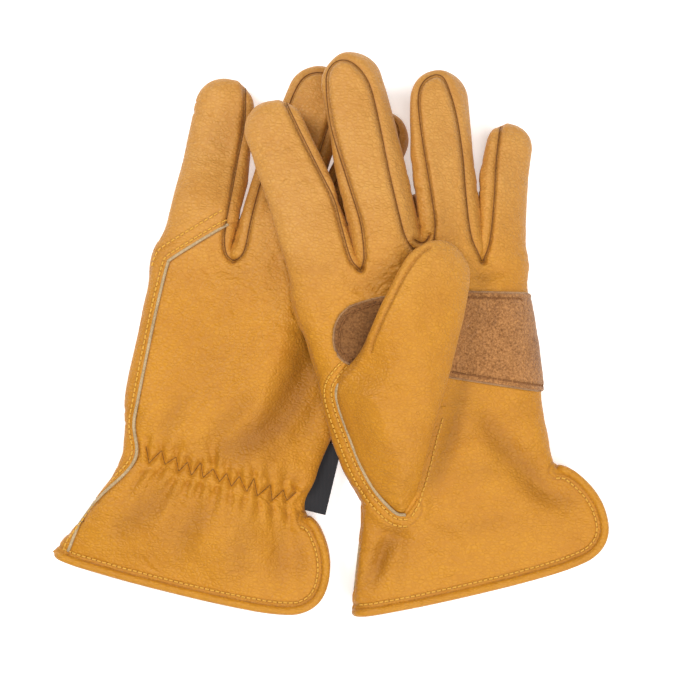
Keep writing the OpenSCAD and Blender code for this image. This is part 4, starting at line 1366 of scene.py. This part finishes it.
class GLOVES_OT_tag(bpy.types.Operator):
    """Folds the plain black ribbon tag caught in the side seam"""
    bl_idname = "gloves.tag"
    bl_label = "Tag"

    def execute(self, context):
        # From inside the seam outwards, and along it up the hand.
        across, up = np.linspace(42, 54, 9), np.linspace(2.4, 35, 15)
        gx, gy = np.meshgrid(across, up)
        verts = []
        faces = []
        for side in (1, -1):
            w = 0.4 * side + 0.7 * np.sin((gx - 42) / 12 * 2.2) * np.sin(gy / 14)
            verts.append(np.stack([gx, gy, w], -1).reshape(-1, 3))
        n, cols, rows = gx.size, len(across), len(up)
        for i in range(rows - 1):
            for j in range(cols - 1):
                a, b, c, d = i * cols + j, i * cols + j + 1, (i + 1) * cols + j + 1, (i + 1) * cols + j
                faces += [(a, b, c), (a, c, d), (n + a, n + c, n + b), (n + a, n + d, n + c)]
        ring = ([j for j in range(cols)] + [i * cols + cols - 1 for i in range(1, rows)]
                + [(rows - 1) * cols + j for j in range(cols - 2, -1, -1)]
                + [i * cols for i in range(rows - 2, 0, -1)])
        for a, b in zip(ring, ring[1:] + ring[:1]):
            faces += [(b, a, n + a), (b, n + a, n + b)]
        mesh = mesh_of("tag", lay("right", np.vstack(verts)), np.array(faces)[:, ::-1])
        mesh.shade_flat()
        obj = new_object("right_tag_ribbon", mesh, MATERIALS["ribbon"])
        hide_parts("right_tag")
        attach(obj, "right_glove")
        return {"FINISHED"}


class GLOVES_OT_stage(bpy.types.Operator):
    """Sets the pale floor, the soft lights and the camera straight above"""
    bl_idname = "gloves.stage"
    bl_label = "Stage"

    def execute(self, context):
        white = (1.0, 1.0, 1.0, 1.0)
        mesh = bpy.data.meshes.new("floor")
        r = 3.0
        mesh.from_pydata([(-r, -r, 0), (r, -r, 0), (r, r, 0), (-r, r, 0)], [], [(0, 1, 2, 3)])
        # Matt white with a faint glow, so that it stays an even white right up to the gloves.
        paper, tree, bsdf = new_material("matt white paper")
        wire(tree, bsdf, {"Base Color": linear("#f7f7f6"), "Roughness": 0.9, "Specular IOR Level": 0.1,
                          "Emission Color": white, "Emission Strength": 0.42}, {})
        floor = new_object("floor", mesh, paper)
        just_under = -0.0002
        floor.location = (0, 0, just_under)
        world = bpy.data.worlds.new("soft room")
        context.scene.world = world
        world.use_nodes = True
        sky = world.node_tree.nodes["Background"]
        sky.inputs["Color"].default_value = white
        sky.inputs["Strength"].default_value = 0.18
        # Each lamp's place, its width in metres and its power in watts.
        lamps = [
            ("key", (-0.75, 0.5, 1.15), 0.5, 14.0), ("top", (0.15, -0.25, 1.9), 0.7, 11.0),
            ("low", (0.3, -1.1, 0.85), 0.7, 9.0), ("side", (1.0, 0.2, 1.0), 0.7, 7.0),
        ]
        for name, place, size, power in lamps:
            lamp = bpy.data.lights.new(name, "AREA")
            lamp.size = size
            lamp.energy = power
            obj = new_object(name, lamp)
            obj.location = place
            obj.rotation_euler = (-Vector(place)).to_track_quat("-Z", "Y").to_euler()
        # Straight above, far enough off for half the view to span this much at mid height.
        lens, half_sensor = 120, 18
        half_view, mid_height = 0.1575, 0.025
        cam = bpy.data.cameras.new("camera")
        cam.lens = lens
        cam.clip_start = 0.05
        eye = new_object("camera", cam)
        eye.location = (0.0071, -0.0047, mid_height + half_view * lens / half_sensor)
        context.scene.camera = eye
        context.scene.view_settings.view_transform = "Standard"
        context.scene.view_settings.look = "None"
        return {"FINISHED"}


class GLOVES_PT_panel(bpy.types.Panel):
    """Lists the gloves' sizes, colours and steps"""
    bl_idname = "GLOVES_PT_panel"
    bl_label = "Gloves"
    bl_space_type = "VIEW_3D"
    bl_region_type = "UI"
    bl_category = "Gloves"

    def draw(self, context):
        column = self.layout.column()
        for group in (context.scene.glove_settings, context.scene.stitch_settings):
            for key in group.__annotations__:
                column.prop(group, key)
        for operator in OPERATORS:
            column.operator(operator.bl_idname)


OPERATORS = (
    GLOVES_OT_leathers, GLOVES_OT_hands, GLOVES_OT_linings, GLOVES_OT_straps, GLOVES_OT_thumbs,
    GLOVES_OT_hems, GLOVES_OT_edges, GLOVES_OT_stitches, GLOVES_OT_seams, GLOVES_OT_tag, GLOVES_OT_stage,
)
CLASSES = (GloveSettings, StitchSettings) + OPERATORS + (GLOVES_PT_panel,)


def register():
    for c in CLASSES:
        bpy.utils.register_class(c)
    bpy.types.Scene.glove_settings = bpy.props.PointerProperty(type=GloveSettings)
    bpy.types.Scene.stitch_settings = bpy.props.PointerProperty(type=StitchSettings)


def unregister():
    del bpy.types.Scene.stitch_settings
    del bpy.types.Scene.glove_settings
    for c in reversed(CLASSES):
        bpy.utils.unregister_class(c)


def main():
    """Makes the gloves and the stage."""
    register()
    for operator in OPERATORS:
        group, name = operator.bl_idname.split(".")
        getattr(getattr(bpy.ops, group), name)()


if __name__ == "__main__":
    main()
